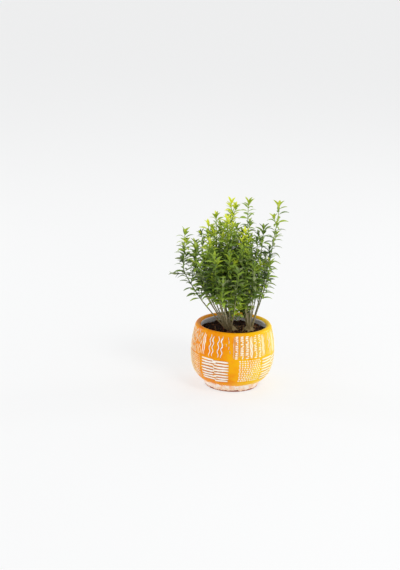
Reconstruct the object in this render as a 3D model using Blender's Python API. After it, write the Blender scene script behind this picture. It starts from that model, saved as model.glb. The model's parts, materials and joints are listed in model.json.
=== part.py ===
"""A small euonymus shrub in a round glazed pot, modelled piece by piece.

Frame: metres, +Z up, the origin at the centre of the pot's flat underside, the front towards -Y.

The shrub is a clump of slim upright shoots that rise from two woody crowns in the compost.
Each crown carries one short stub for each of its shoots. A bare stem runs on from the stub, and the
shoot's mass of foliage runs on from the stem: a twig with leaves in crossed pairs, and a few side twigs.
"""

import math
import random
from collections import namedtuple

import bmesh
import bpy
from mathutils import Matrix, Vector
from mathutils.bvhtree import BVHTree

MM = 0.001
CLEARANCE = 0.3 * MM
UP = Vector((0, 0, 1))

# The pot: a foot, a full belly, and a thick rolled lip.
POT_HEIGHT = 101.3 * MM
POT_SEGMENTS = 48
FOOT_RADIUS = 41.6 * MM
FOOT_CHAMFER = 1 * MM
FOOT_TOP_RADIUS = 44.6 * MM
FOOT_HEIGHT = 8.5 * MM
BELLY_RADIUS = 65.5 * MM
BELLY_LEVEL = 60 * MM
LOWER_DEPTH = 58 * MM
LOWER_FULLNESS = 2.92
UPPER_DEPTH = 106 * MM
UPPER_FULLNESS = 1.79
LIP_OUTER_LEVEL = 94.8 * MM
LIP_INNER_LEVEL = 95.8 * MM
MOUTH_RADIUS = 51.1 * MM
WALL = 7.5 * MM
CAVITY_FLOOR = 12 * MM
CAVITY_FLOOR_RADIUS = 40 * MM
CAVITY_FLARE = 2.2
BODY_LEVELS = (11, 16, 24, 40, 58, 74, 86)
LIP_ANGLES = (0, 45, 90, 135, 180)
CAVITY_LEVELS = (88, 52, 20)

# The compost fills the pot to a little under the lip.
SOIL_LEVEL = 90 * MM
SOIL_SEGMENTS = 32
SOIL_RINGS = (0.88, 0.7, 0.45)
SOIL_LEVELS = (20, 52)
SOIL_RELIEF = 2.6 * MM
LUMP_SIZE = (33 * MM, 27 * MM)
SMALL_LUMP_SIZE = 16 * MM
SMALL_LUMP_SHARE = 0.6
LEVEL_PATCH = 15 * MM
LEVEL_FADE = 8 * MM

# The two woody crowns, with their root flares.
CROWNS = {"left": Vector((-4, 2, 0)) * MM, "right": Vector((25, 1, 0)) * MM}
CLUMP_CENTRE = sum(CROWNS.values(), Vector()) / len(CROWNS)
CORE_REACH = 45 * MM
CROWN_RADIUS = 7.5 * MM
CROWN_HEIGHT = 6.5 * MM
CROWN_LUMPS = 0.12
CROWN_DEPTH = 3 * MM
STUB_RISE = 15 * MM
FOOT_SPREAD = 0.06
FLARE_RADII = (3.0 * MM, 1.5 * MM)
FLARE_START = 3 * MM
FLARE_DIP = 0.35
FLARE_BEND = -0.1
FLARES = {
    "left": ((-60, 13), (35, 12), (160, 10), (-20, 16)),
    "right": ((-100, 12), (10, 9), (120, 9), (-45, 11)),
}

# Shoots. Radii run from the stub at the crown to the twig's tip.
STUB_RADIUS = 1.35 * MM
STUB_FLARE = 1.4
STEM_RADIUS = 1.15 * MM
TWIG_RADIUS = 1.05 * MM
TIP_RADIUS = 0.75 * MM
SIDE_RADIUS = 0.9 * MM
STEM_SIDES = 5
STEM_RING_STEP = 13 * MM
TWIG_SIDES = 4
TWIG_RING_STEP = 22 * MM
BUD_RISE = 7 * MM

# Each shoot has its crown, its top in millimetres, how early it turns up, the height over the compost,
# in millimetres, at which its leaves begin, and the share of its rise from which it stands upright.
Shoot = namedtuple("Shoot", "name crown top turn_up bare upright", defaults=(1.0,))
SHOOTS = (
    Shoot("far_left", "left", (-81, 5, 250), 1.4, 49, 0.65),
    Shoot("left_slim", "left", (-65, 20, 229), 1.5, 76, 0.8),
    Shoot("left_third", "left", (-62, -8, 229), 1.6, 57, 0.9),
    Shoot("left_shoulder", "left", (-45, -4, 267), 1.6, 45),
    Shoot("left_tall", "left", (-33, 21, 274), 1.6, 41),
    Shoot("top_centre", "left", (-10, 8, 300), 1.5, 43),
    Shoot("centre_bright", "left", (-15, -19, 279), 1.5, 48),
    Shoot("front_left_bright", "left", (-42, -34, 245), 1.6, 52),
    Shoot("front_left_low", "left", (-34, -54, 228), 1.7, 56),
    Shoot("front_left_outer", "left", (-56, -42, 210), 1.3, 51),
    Shoot("front_centre", "left", (-11, -44, 225), 1.6, 54),
    Shoot("front_low_left", "left", (-19, -66, 188), 1.6, 58, 0.95),
    Shoot("front_low_right", "left", (3, -62, 207), 1.7, 59),
    Shoot("back_left", "left", (-27, 44, 253), 1.6, 39),
    Shoot("back_left_outer", "left", (-52, 45, 222), 1.7, 41, 0.95),
    Shoot("back_centre", "left", (-11, 64, 213), 1.8, 37, 0.95),
    Shoot("top_right", "right", (16, 12, 299), 1.5, 43),
    Shoot("right_bright", "right", (12, -15, 258), 1.5, 49),
    Shoot("front_right", "right", (9, -38, 235), 1.6, 53),
    Shoot("front_right_outer", "right", (28, -49, 216), 1.6, 56),
    Shoot("right_inner", "right", (31, -12, 245), 1.5, 47),
    Shoot("right_mid", "right", (42, 15, 257), 1.4, 43),
    Shoot("far_right", "right", (65, 8, 297), 1.3, 49),
    Shoot("right_low", "right", (54, -16, 211), 1.2, 42),
    Shoot("back_right_tall", "right", (0, 38, 253), 1.6, 40),
    Shoot("back_right", "right", (26, 42, 229), 1.7, 39),
    Shoot("back_right_outer", "right", (48, 42, 207), 1.7, 41, 0.95),
    Shoot("back_right_low", "right", (16, 64, 201), 1.8, 37, 0.95),
)

# Leaves stand in pairs, and each pair is turned a quarter from the one below.
PAIR_STEP = 12.6 * MM
PAIR_CLOSING = 0.25
FIRST_PAIR = 4 * MM
SIDE_FIRST_PAIR = 9 * MM
TOP_PAIR_GAP = 4 * MM
TIP_INSET = 1 * MM
LEAF_LENGTH = 18 * MM
LEAF_WIDTH = 8.2 * MM
LEAF_THICKNESS = 0.7 * MM
LEAF_CLEARANCE = 1.5 * CLEARANCE
LEAF_ARCH = 0.1
LEAF_WIDEST = 0.5
LEAF_SINK = 0.1
LEAF_SWING = math.radians(8)
LEAF_SHRINK = 0.22
LENGTH_SPREAD = 0.08
RISE_SPREAD = 7
LOW_LEAF_RISE = 18
HIGH_LEAF_RISE = 46
TIP_LEAF_RISE = 68
TIP_LEAF_SCALE = 0.72
SIDE_LEAF_SCALE = 0.9
SIDE_TWIG_EVERY = 75 * MM
SIDE_LENGTH = 27 * MM
SIDE_BEND = 0.18
SIDE_RISE = 48
SIDE_ZONE = (0.12, 0.62)
SIDE_TRIES = 12
SIDE_OVERREACH = -4 * MM
STRAY_SHOOT = "far_left"
STRAY_START = 0.42
STRAY_LENGTH = 14 * MM
STRAY_RISE = 12
SEED = 11

COLOURS = {
    "glaze": ((0.90, 0.42, 0.02), 0.25),
    "compost": ((0.045, 0.025, 0.015), 0.95),
    "crown": ((0.21, 0.16, 0.09), 0.85),
    "stem": ((0.16, 0.17, 0.07), 0.7),
    "foliage": ((0.16, 0.30, 0.05), 0.45),
}


def material(name):
    """One Principled material for each finish in COLOURS, made once."""
    made = bpy.data.materials.get(name)
    if made is None:
        colour, roughness = COLOURS[name]
        made = bpy.data.materials.new(name)
        made.use_nodes = True
        shader = made.node_tree.nodes["Principled BSDF"]
        shader.inputs["Base Color"].default_value = (*colour, 1)
        shader.inputs["Roughness"].default_value = roughness
        shader.inputs["Metallic"].default_value = 0
    return made


def mesh_object(name, bm, finish=None, collection=None):
    """Puts a bmesh into the scene as a named object."""
    bmesh.ops.recalc_face_normals(bm, faces=bm.faces)
    mesh = bpy.data.meshes.new(name)
    bm.to_mesh(mesh)
    bm.free()
    obj = bpy.data.objects.new(name, mesh)
    (collection or bpy.context.scene.collection).objects.link(obj)
    if finish:
        mesh.materials.append(material(finish))
    return obj


def solid_mesh(vertices, faces):
    """A bmesh from points and faces."""
    bm = bmesh.new()
    made = [bm.verts.new(v) for v in vertices]
    for face in faces:
        bm.faces.new([made[i] for i in face])
    return bm


# The pot and its compost


def outer_radius(z):
    """The body's outer radius at a height, as two half ovals that meet at the belly."""
    if z < BELLY_LEVEL:
        share, fullness = (BELLY_LEVEL - z) / LOWER_DEPTH, LOWER_FULLNESS
    else:
        share, fullness = (z - BELLY_LEVEL) / UPPER_DEPTH, UPPER_FULLNESS
    return BELLY_RADIUS * (1 - share**fullness) ** (1 / fullness)


def inner_radius(z):
    """The cavity's radius: one wall in from the body, drawn in at the floor and to the mouth."""
    wall = outer_radius(max(z, FOOT_HEIGHT)) - WALL
    low = CAVITY_FLOOR_RADIUS + CAVITY_FLARE * (z - CAVITY_FLOOR)
    return min(wall, low)


def pot_profile():
    """(radius, height) points from the centre of the underside, out, up, over the lip and down inside."""
    points = [(0, 0), (FOOT_RADIUS - FOOT_CHAMFER, 0), (FOOT_RADIUS, FOOT_CHAMFER)]
    points.append((FOOT_TOP_RADIUS, FOOT_HEIGHT))
    points += [(outer_radius(z * MM), z * MM) for z in BODY_LEVELS]
    lip_outer = outer_radius(LIP_OUTER_LEVEL)
    middle, half = (lip_outer + MOUTH_RADIUS) / 2, (lip_outer - MOUTH_RADIUS) / 2
    for degrees in LIP_ANGLES:
        turn = math.radians(degrees)
        level = LIP_OUTER_LEVEL if degrees < 90 else LIP_INNER_LEVEL
        rise = (POT_HEIGHT - level) * math.sin(turn)
        points.append((middle + half * math.cos(turn), level + rise))
    points += [(inner_radius(z * MM), z * MM) for z in CAVITY_LEVELS]
    return points + [(CAVITY_FLOOR_RADIUS, CAVITY_FLOOR), (0, CAVITY_FLOOR)]


def turned(name, profile, segments, finish, shape=None):
    """Spins a profile round the Z axis. shape, if given, moves each vertex."""
    bm = bmesh.new()
    rim = [bm.verts.new((r, 0, z)) for r, z in profile]
    edges = [bm.edges.new(pair) for pair in zip(rim, rim[1:])]
    bmesh.ops.spin(
        bm,
        geom=rim + edges,
        cent=(0, 0, 0),
        axis=UP,
        angle=2 * math.pi,
        steps=segments,
        use_merge=True,
    )
    bmesh.ops.remove_doubles(bm, verts=bm.verts, dist=0.01 * MM)
    if shape:
        for vertex in bm.verts:
            shape(vertex)
    obj = mesh_object(name, bm, finish)
    obj.data.shade_smooth()
    obj.data.set_sharp_from_angle(angle=math.radians(40))


def soil_height(x, y):
    """The compost's surface: level where the crowns stand, and dipping in hollows elsewhere."""
    near = min((Vector((x, y, 0)) - centre).length for centre in CROWNS.values())
    lumpy = min(max((near - LEVEL_PATCH) / LEVEL_FADE, 0), 1)
    large = math.sin(math.tau * x / LUMP_SIZE[0]) * math.cos(math.tau * y / LUMP_SIZE[1])
    small = math.sin(math.tau * (x - y) / SMALL_LUMP_SIZE)
    waves = (large + SMALL_LUMP_SHARE * small) / (1 + SMALL_LUMP_SHARE)
    return SOIL_LEVEL - SOIL_RELIEF * lumpy * (1 + waves) / 2


def make_soil():
    """The compost, a little clear of the pot's wall and floor."""
    edge = inner_radius(SOIL_LEVEL) - CLEARANCE
    profile = [(0, CAVITY_FLOOR + CLEARANCE)]
    profile.append((CAVITY_FLOOR_RADIUS - 1 * MM, CAVITY_FLOOR + CLEARANCE))
    profile += [(inner_radius(z * MM) - 2 * CLEARANCE, z * MM) for z in SOIL_LEVELS]
    profile.append((edge, SOIL_LEVEL - SOIL_RELIEF - 1 * MM))
    profile += [(edge * share, SOIL_LEVEL) for share in SOIL_RINGS] + [(0, SOIL_LEVEL)]

    def settle(vertex):
        if vertex.co.z > SOIL_LEVEL - 0.1 * MM:
            vertex.co.z = soil_height(vertex.co.x, vertex.co.y)

    turned("soil", profile, SOIL_SEGMENTS, "compost", settle)


# The line that each shoot follows


class Path:
    """A shoot's centre line, from its place on the crown to its tip, read by length."""

    COUNT = 60

    def __init__(self, shoot):
        top = Vector(shoot.top) * MM - UP * BUD_RISE
        centre = CROWNS[shoot.crown]
        out = Vector((top.x - centre.x, top.y - centre.y, 0))
        foot = centre + out * FOOT_SPREAD + UP * (SOIL_LEVEL - CROWN_DEPTH)
        self.points = []
        for i in range(self.COUNT + 1):
            t = i / self.COUNT
            leant = 1 - max(1 - t / shoot.upright, 0) ** shoot.turn_up
            flat = foot + out * (1 - FOOT_SPREAD) * leant
            self.points.append(Vector((flat.x, flat.y, foot.z + (top.z - foot.z) * t)))
        self.lengths = [0]
        for a, b in zip(self.points, self.points[1:]):
            self.lengths.append(self.lengths[-1] + (b - a).length)
        self.length = self.lengths[-1]

    def at(self, s):
        """(point, direction) at a length along the line."""
        s = min(max(s, 0), self.length)
        i = 0
        while i < self.COUNT - 1 and self.lengths[i + 1] < s:
            i += 1
        a, b = self.points[i], self.points[i + 1]
        share = (s - self.lengths[i]) / (self.lengths[i + 1] - self.lengths[i])
        return a.lerp(b, share), (b - a).normalized()

    def rise_to(self, height):
        """The length at which the line reaches a height over the compost."""
        s = 0
        while s < self.length and self.at(s)[0].z < SOIL_LEVEL + height:
            s += 0.5 * MM
        return s


class BentPath:
    """The centre line of a side twig or a root: it leaves at an angle and bends up, or down."""

    def __init__(self, root, direction, length, bend):
        self.length = length
        tip = root + (direction + UP * bend).normalized() * length
        self.curve = (root, root + direction * length / 2, tip)

    def at(self, s):
        """(point, direction) at a length along the line."""
        t = min(max(s / self.length, 0), 1)
        a, b, c = self.curve
        point = a * (1 - t) ** 2 + b * 2 * t * (1 - t) + c * t**2
        return point, ((b - a) * (1 - t) + (c - b) * t).normalized()


def square_to(direction, turn):
    """A unit vector square to a direction, turned round it by an angle."""
    side = direction.cross(Vector((0.31, -0.95, 0.05))).normalized()
    return Matrix.Rotation(turn, 3, direction) @ side


def tube(path, start, end, radii, sides, rings, turn=0.0):
    """A tapered tube along part of a path, capped flat and square to it at both ends.

    turn is the angle at which its first side faces.
    """
    vertices, faces = [], []
    corner = turn + math.pi / sides
    for k in range(rings + 1):
        share = k / rings
        point, direction = path.at(start + (end - start) * share)
        radius = radii[0] + (radii[1] - radii[0]) * share
        for i in range(sides):
            angle = corner + 2 * math.pi * i / sides
            vertices.append(point + square_to(direction, angle) * radius)
    for k in range(rings):
        for i in range(sides):
            a, b = k * sides + i, k * sides + (i + 1) % sides
            faces.append((a, b, b + sides, a + sides))
    faces.append(tuple(reversed(range(sides))))
    faces.append(tuple(range(rings * sides, (rings + 1) * sides)))
    return vertices, faces


# Leaves


def blade(root, along, face, length, width, swell=0.0):
    """A leaf of six triangles: arched along its length, and thickest under the middle of its rib.

    swell makes it that much bigger all round, to test whether a leaf has room.
    """
    across = along.cross(face).normalized()
    middle = root + along * length * LEAF_WIDEST + face * length * LEAF_ARCH
    vertices = [
        root,
        middle + face * swell + across * (width / 2 + swell),
        root + along * (length + swell),
        middle + face * swell - across * (width / 2 + swell),
        middle - face * (LEAF_THICKNESS + swell),
    ]
    faces = [(0, 3, 1), (1, 3, 2), (0, 1, 4), (1, 2, 4), (2, 3, 4), (3, 0, 4)]
    return vertices, faces


class Room:
    """What is already in place, so that a new twig or leaf can be kept clear of it."""

    def __init__(self):
        self.placed = []

    def add(self, shape, owner, key):
        """Keeps a solid. owner is its mass or limb, key the joint it grows from."""
        vertices, faces = shape
        low = [min(v[i] for v in vertices) for i in range(3)]
        high = [max(v[i] for v in vertices) for i in range(3)]
        tree = BVHTree.FromPolygons(vertices, faces)
        self.placed.append((low, high, tree, owner, key))

    def clear(self, shape, own_keys=()):
        """Whether a solid touches nothing but what has one of these (owner, key) pairs."""
        vertices, faces = shape
        low = [min(v[i] for v in vertices) for i in range(3)]
        high = [max(v[i] for v in vertices) for i in range(3)]
        tree = None
        for other_low, other_high, other, owner, key in self.placed:
            if any(low[i] > other_high[i] or high[i] < other_low[i] for i in range(3)):
                continue
            if (owner, key) in own_keys:
                continue
            tree = tree or BVHTree.FromPolygons(vertices, faces)
            if tree.overlap(other):
                return False
        return True


class Mass:
    """One shoot's foliage: its leading twig, its side twigs and their leaves."""

    def __init__(self, shoot, path, rng):
        self.shoot, self.path, self.rng = shoot, path, rng
        self.start = path.rise_to(shoot.bare * MM)
        self.turn = rng.uniform(0, math.pi / 2)
        self.shapes = []
        self.pending = []

    def leader(self):
        """The leading twig's tube."""
        return tube(
            self.path,
            self.start + CLEARANCE,
            self.path.length,
            (TWIG_RADIUS, TIP_RADIUS),
            TWIG_SIDES,
            round((self.path.length - self.start) / TWIG_RING_STEP),
            self.turn,
        )

    def plan_pairs(self, path, start, key, scale=1.0):
        """Lists the leaf pairs along a twig, from its lowest to its tip."""
        turn = self.turn
        s = start
        while s < path.length - TOP_PAIR_GAP:
            share = (s - start) / (path.length - start)
            rise = LOW_LEAF_RISE + (HIGH_LEAF_RISE - LOW_LEAF_RISE) * share
            size = scale * (1 + LEAF_SHRINK * (0.3 - share))
            self.pending.append((path, s, turn, rise, size, key))
            turn += math.pi / 2
            s += PAIR_STEP * (1 + PAIR_CLOSING * (0.4 - share))
        top = path.length - TIP_INSET
        self.pending.append((path, top, turn, TIP_LEAF_RISE, TIP_LEAF_SCALE * scale, key))

    def plan_side_twigs(self, room):
        """Grows the side twigs that have room, and lists their leaves."""
        leafy = self.path.length - self.start
        low, high = SIDE_ZONE
        count = max(1, round(leafy / SIDE_TWIG_EVERY))
        for i in range(count):
            share = low + (high - low) * (i + self.rng.uniform(0.2, 0.8)) / count
            for _ in range(SIDE_TRIES):
                turn = self.rng.uniform(0, 2 * math.pi)
                if self.side_twig(room, i, share * leafy, turn, SIDE_RISE, SIDE_LENGTH):
                    break
        if self.shoot.name == STRAY_SHOOT:
            along = self.path.at(self.start + STRAY_START * leafy)[1]
            turn = min(range(0, 360, 5), key=lambda d: square_to(along, math.radians(d)).x)
            turn = math.radians(turn)
            self.side_twig(room, "stray", STRAY_START * leafy, turn, STRAY_RISE, STRAY_LENGTH)

    def side_twig(self, room, index, s, turn, rise, length):
        """One side twig, kept only where it touches no other limb and stays in the mass's reach."""
        root, along = self.path.at(self.start + s)
        lift = math.radians(rise)
        direction = square_to(along, turn) * math.cos(lift) + along * math.sin(lift)
        path = BentPath(root, direction, length, SIDE_BEND)
        shape = tube(path, 0, length, (SIDE_RADIUS, TIP_RADIUS), TWIG_SIDES, 2, self.turn)
        tip, top = path.at(length)[0], self.path.at(self.path.length)[0]
        reach = (top - CLUMP_CENTRE).xy.length + SIDE_OVERREACH
        inside = index == "stray" or (tip - CLUMP_CENTRE).xy.length < max(reach, CORE_REACH)
        kept = inside and room.clear(shape, {(self.shoot.name, "leader")})
        if kept:
            key = f"side_{index}"
            room.add(shape, self.shoot.name, key)
            self.shapes.append(shape)
            self.plan_pairs(path, SIDE_FIRST_PAIR, key, SIDE_LEAF_SCALE)
        return kept

    def grow_next(self, room):
        """Places the next listed pair, leaving out a leaf that has no room."""
        path, s, turn, rise, scale, twig = self.pending.pop(0)
        node, along = path.at(s)
        thick = TWIG_RADIUS if twig == "leader" else SIDE_RADIUS
        radius = thick + (TIP_RADIUS - thick) * s / path.length
        key = f"{twig}_{round(s / MM, 2)}"
        for side in (0, math.pi):
            lift = math.radians(rise + self.rng.uniform(-RISE_SPREAD, RISE_SPREAD))
            out = square_to(along, turn + side + self.rng.uniform(-LEAF_SWING, LEAF_SWING))
            direction = out * math.cos(lift) + along * math.sin(lift)
            face = direction.cross(along.cross(out)).normalized()
            face = face if face.dot(along) > 0 else -face
            root = node - direction * LEAF_SINK * radius
            length = LEAF_LENGTH * scale * (1 + self.rng.uniform(-LENGTH_SPREAD, LENGTH_SPREAD))
            width = LEAF_WIDTH * scale
            own = {(self.shoot.name, twig), (self.shoot.name, key)}
            tested = blade(root, direction, face, length, width, LEAF_CLEARANCE)
            if room.clear(tested, own):
                leaf = blade(root, direction, face, length, width)
                room.add(leaf, self.shoot.name, key)
                self.shapes.append(leaf)


# Joining and the whole plant


def fused(name, shapes, finish, cut_level=None):
    """Joins overlapping solids into one object, and cuts it flat at a level if one is given."""
    group = bpy.data.collections.new(name + "_pieces")
    bpy.context.scene.collection.children.link(group)
    host = mesh_object(name, solid_mesh(*shapes[0]), finish)
    for i, shape in enumerate(shapes[1:]):
        mesh_object(f"{name}_piece_{i}", solid_mesh(*shape), None, group)
    union = host.modifiers.new("join", "BOOLEAN")
    union.operation = "UNION"
    union.operand_type = "COLLECTION"
    union.collection = group
    union.solver = "EXACT"
    helpers = list(group.objects)
    if cut_level is not None:
        helpers.append(flat_cutter(host, cut_level))
    bpy.context.view_layer.update()
    graph = bpy.context.evaluated_depsgraph_get()
    joined = bpy.data.meshes.new_from_object(host.evaluated_get(graph))
    host.modifiers.clear()
    old, host.data = host.data, joined
    bpy.data.meshes.remove(old)
    for helper in helpers:
        bpy.data.objects.remove(helper)
    bpy.data.collections.remove(group)


def flat_cutter(host, level):
    """Cuts a solid flat at a level, by a block that takes off all below it."""
    block = bmesh.new()
    bmesh.ops.create_cube(block, size=0.2)
    bmesh.ops.translate(block, verts=block.verts, vec=(0, 0, level - 0.1))
    cutter = mesh_object(host.name + "_cutter", block)
    cutter.hide_render = True
    cutter.display_type = "WIRE"
    cut = host.modifiers.new("flat_foot", "BOOLEAN")
    cut.operation = "DIFFERENCE"
    cut.object = cutter
    return cutter


def dome(centre):
    """The crown's woody heart, a lumpy ball that is cut flat at the compost."""
    bm = bmesh.new()
    bmesh.ops.create_uvsphere(bm, u_segments=12, v_segments=7, radius=1)
    for v in bm.verts:
        radius = CROWN_RADIUS * (1 + CROWN_LUMPS * math.sin(5 * v.co.x + 3 * v.co.y))
        v.co = Vector((v.co.x * radius, v.co.y * radius, v.co.z * CROWN_HEIGHT))
        v.co += centre + UP * SOIL_LEVEL
    vertices = [v.co.copy() for v in bm.verts]
    faces = [tuple(v.index for v in f.verts) for f in bm.faces]
    bm.free()
    return vertices, faces


def flare(centre, degrees, reach):
    """A root flare that runs out from the crown and down into the compost."""
    turn = math.radians(degrees)
    out = Vector((math.cos(turn), math.sin(turn), 0))
    root = centre + UP * (SOIL_LEVEL + FLARE_START)
    path = BentPath(root, (out - UP * FLARE_DIP).normalized(), reach * MM, FLARE_BEND)
    return tube(path, 0, reach * MM, FLARE_RADII, STEM_SIDES, 2)


def make_crown(side, paths):
    """A crown: its heart, its root flares, and a stub for each shoot it carries."""
    centre = CROWNS[side]
    shapes = [dome(centre)]
    shapes += [flare(centre, degrees, reach) for degrees, reach in FLARES[side]]
    for shoot, path in paths.items():
        if shoot.crown == side:
            end = path.rise_to(STUB_RISE)
            radii = (STUB_RADIUS * STUB_FLARE, STUB_RADIUS)
            shapes.append(tube(path, 0, end, radii, STEM_SIDES, 1))
    fused("crown_" + side, shapes, "crown", SOIL_LEVEL + CLEARANCE)


def make_stems(paths, room):
    """The bare stems, from the stubs on the crowns to where the leaves begin."""
    for shoot, path in paths.items():
        start = path.rise_to(STUB_RISE) + CLEARANCE
        end = path.rise_to(shoot.bare * MM)
        rings = max(1, round((end - start) / STEM_RING_STEP))
        shape = tube(path, start, end, (STUB_RADIUS, STEM_RADIUS), STEM_SIDES, rings)
        room.add(shape, "stem", shoot.name)
        obj = mesh_object("stem_" + shoot.name, solid_mesh(*shape), "stem")
        obj.data.shade_smooth()
        obj.data.set_sharp_from_angle(angle=math.radians(65))


def make_foliage(paths, room):
    """All masses, grown pair by pair in turn so that none crowds out its neighbours."""
    masses = []
    for i, (shoot, path) in enumerate(paths.items()):
        mass = Mass(shoot, path, random.Random(SEED + i))
        mass.shapes.append(mass.leader())
        room.add(mass.shapes[0], shoot.name, "leader")
        masses.append(mass)
    for mass in masses:
        mass.plan_pairs(mass.path, mass.start + FIRST_PAIR, "leader")
        mass.plan_side_twigs(room)
    while any(mass.pending for mass in masses):
        for mass in masses:
            if mass.pending:
                mass.grow_next(room)
    for mass in masses:
        fused("foliage_" + mass.shoot.name, mass.shapes, "foliage")


def clear_scene():
    """Removes what the startup scene holds."""
    for obj in list(bpy.data.objects):
        bpy.data.objects.remove(obj)


def main():
    """Builds the pot, the compost and the plant."""
    clear_scene()
    turned("pot", pot_profile(), POT_SEGMENTS, "glaze")
    make_soil()
    paths = {shoot: Path(shoot) for shoot in SHOOTS}
    for side in CROWNS:
        make_crown(side, paths)
    room = Room()
    make_stems(paths, room)
    make_foliage(paths, room)


if __name__ == "__main__":
    main()
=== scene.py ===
"""The looks of a small euonymus shrub in a painted round pot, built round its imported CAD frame.

Frame: metres, +Z up, the origin at the centre of the pot's flat underside, the front towards -Y.

The pot, its compost, the woody crowns, the stems, the twigs and the leaves each have a class that
holds their sizes and builds their pieces. The shoots follow the same rule as the CAD source, and are
carried on here to finer twigs and to leaves of their true size.
"""

from __future__ import annotations

import json
import logging
import math
import random
from collections.abc import Callable, Iterable, Iterator
from dataclasses import dataclass, field
from enum import Enum

import bmesh
import bpy
from mathutils import Matrix, Vector, noise
from mathutils.bvhtree import BVHTree

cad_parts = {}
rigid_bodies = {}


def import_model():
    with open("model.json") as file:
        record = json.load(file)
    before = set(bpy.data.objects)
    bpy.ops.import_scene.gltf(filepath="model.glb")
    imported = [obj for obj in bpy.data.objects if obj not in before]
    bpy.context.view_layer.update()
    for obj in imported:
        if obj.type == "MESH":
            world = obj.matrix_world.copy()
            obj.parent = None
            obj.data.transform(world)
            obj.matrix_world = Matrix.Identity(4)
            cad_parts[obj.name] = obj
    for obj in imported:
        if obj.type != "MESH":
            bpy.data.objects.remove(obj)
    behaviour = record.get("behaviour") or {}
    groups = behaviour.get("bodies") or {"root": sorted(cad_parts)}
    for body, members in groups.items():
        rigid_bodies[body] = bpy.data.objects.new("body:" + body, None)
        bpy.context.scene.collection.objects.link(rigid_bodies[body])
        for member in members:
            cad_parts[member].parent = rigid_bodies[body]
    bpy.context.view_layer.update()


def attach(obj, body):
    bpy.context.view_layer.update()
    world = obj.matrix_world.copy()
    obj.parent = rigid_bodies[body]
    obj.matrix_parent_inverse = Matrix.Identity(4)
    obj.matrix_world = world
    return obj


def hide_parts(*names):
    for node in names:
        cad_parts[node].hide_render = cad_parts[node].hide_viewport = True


LOG = logging.getLogger("euonymus")
MM = 0.001
UP = Vector((0, 0, 1))
BODY = "root"
Colour = tuple[float, float, float]


class Slot(Enum):
    """The record's material slots."""

    GLAZE = "glaze"
    COMPOST = "compost"
    CROWN = "crown"
    STEM = "stem"
    FOLIAGE = "foliage"


# Shader nodes


class Board:
    """Lays shader nodes in one tree and joins them."""

    def __init__(self, tree: bpy.types.NodeTree) -> None:
        """Starts on a node tree."""
        self.tree = tree

    def add(self, kind: str, sockets: dict | None = None, **settings: object) -> bpy.types.Node:
        """Adds one node.

        Args:
            kind: The node's type name.
            sockets: Input sockets by name or number, each with a value or an output to join.
            settings: The node's own options.

        Returns:
            The new node.
        """
        node = self.tree.nodes.new(kind)
        for key, value in settings.items():
            setattr(node, key, value)
        for key, value in (sockets or {}).items():
            if isinstance(value, bpy.types.NodeSocket):
                self.tree.links.new(value, node.inputs[key])
            else:
                node.inputs[key].default_value = value
        return node

    def mixed(self, factor: object, low: object, high: object) -> bpy.types.NodeSocket:
        """Mixes two colours.

        Args:
            factor: A value or an output, 0 for the low colour and 1 for the high one.
            low: A colour or an output.
            high: A colour or an output.

        Returns:
            The mixed colour's output.
        """
        sockets = {0: factor, 6: rgba(low), 7: rgba(high)}
        return self.add("ShaderNodeMix", sockets, data_type="RGBA").outputs[2]

    def ranged(self, value: object, source: tuple, target: tuple = (0, 1)) -> bpy.types.NodeSocket:
        """Maps a value smoothly from one range to another.

        Args:
            value: The output to map.
            source: The range that it comes from.
            target: The range that it goes to.

        Returns:
            The mapped value's output.
        """
        sockets = {0: value, 1: source[0], 2: source[1], 3: target[0], 4: target[1]}
        kind = "SMOOTHSTEP"
        return self.add("ShaderNodeMapRange", sockets, interpolation_type=kind).outputs[0]

    def maths(self, operation: str, *values: object) -> bpy.types.NodeSocket:
        """One step of arithmetic on values or outputs."""
        sockets = dict(enumerate(values))
        return self.add("ShaderNodeMath", sockets, operation=operation).outputs[0]


def rgba(colour: object) -> object:
    """A plain colour with its alpha, or an output as it is."""
    return (*colour, 1) if isinstance(colour, tuple) and len(colour) == 3 else colour


def srgb(code: str) -> Colour:
    """A linear colour from a hexadecimal screen colour such as "f3a81c"."""
    parts = [int(code[i : i + 2], 16) / 255 for i in (0, 2, 4)]
    linear = [c / 12.92 if c <= 0.04045 else ((c + 0.055) / 1.055) ** 2.4 for c in parts]
    return (linear[0], linear[1], linear[2])


def group(name: str, inputs: dict, outputs: dict, build: Callable) -> bpy.types.NodeTree:
    """Makes a shader node group once, and finds it again after that.

    Args:
        name: The group's name.
        inputs: Each input's name and socket type.
        outputs: Each output's name and socket type.
        build: Lays the group's nodes, from its board, its input node and its output node.

    Returns:
        The group's node tree.
    """
    tree = bpy.data.node_groups.get(name)
    if tree is None:
        tree = bpy.data.node_groups.new(name, "ShaderNodeTree")
        for way, sockets in (("INPUT", inputs), ("OUTPUT", outputs)):
            for label, kind in sockets.items():
                tree.interface.new_socket(label, in_out=way, socket_type=kind)
        board = Board(tree)
        build(board, board.add("NodeGroupInput"), board.add("NodeGroupOutput"))
    return tree


def mottle_group() -> bpy.types.NodeTree:
    """The group that blends two colours in soft patches of a given size."""

    def build(board: Board, given: bpy.types.Node, made: bpy.types.Node) -> None:
        """Lays the nodes."""
        sockets = {"Vector": given.outputs["Vector"], "Scale": given.outputs["Scale"]}
        sockets |= {"Detail": 4.0, "Roughness": 0.6}
        patches = board.add("ShaderNodeTexNoise", sockets).outputs["Fac"]
        mask = board.ranged(patches, (0.38, 0.62))
        colour = board.mixed(mask, given.outputs["Low"], given.outputs["High"])
        board.tree.links.new(colour, made.inputs["Colour"])
        board.tree.links.new(mask, made.inputs["Mask"])

    vector, value, colour = "NodeSocketVector", "NodeSocketFloat", "NodeSocketColor"
    given = {"Vector": vector, "Scale": value, "Low": colour, "High": colour}
    return group("soft_patches", given, {"Colour": colour, "Mask": value}, build)


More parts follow.
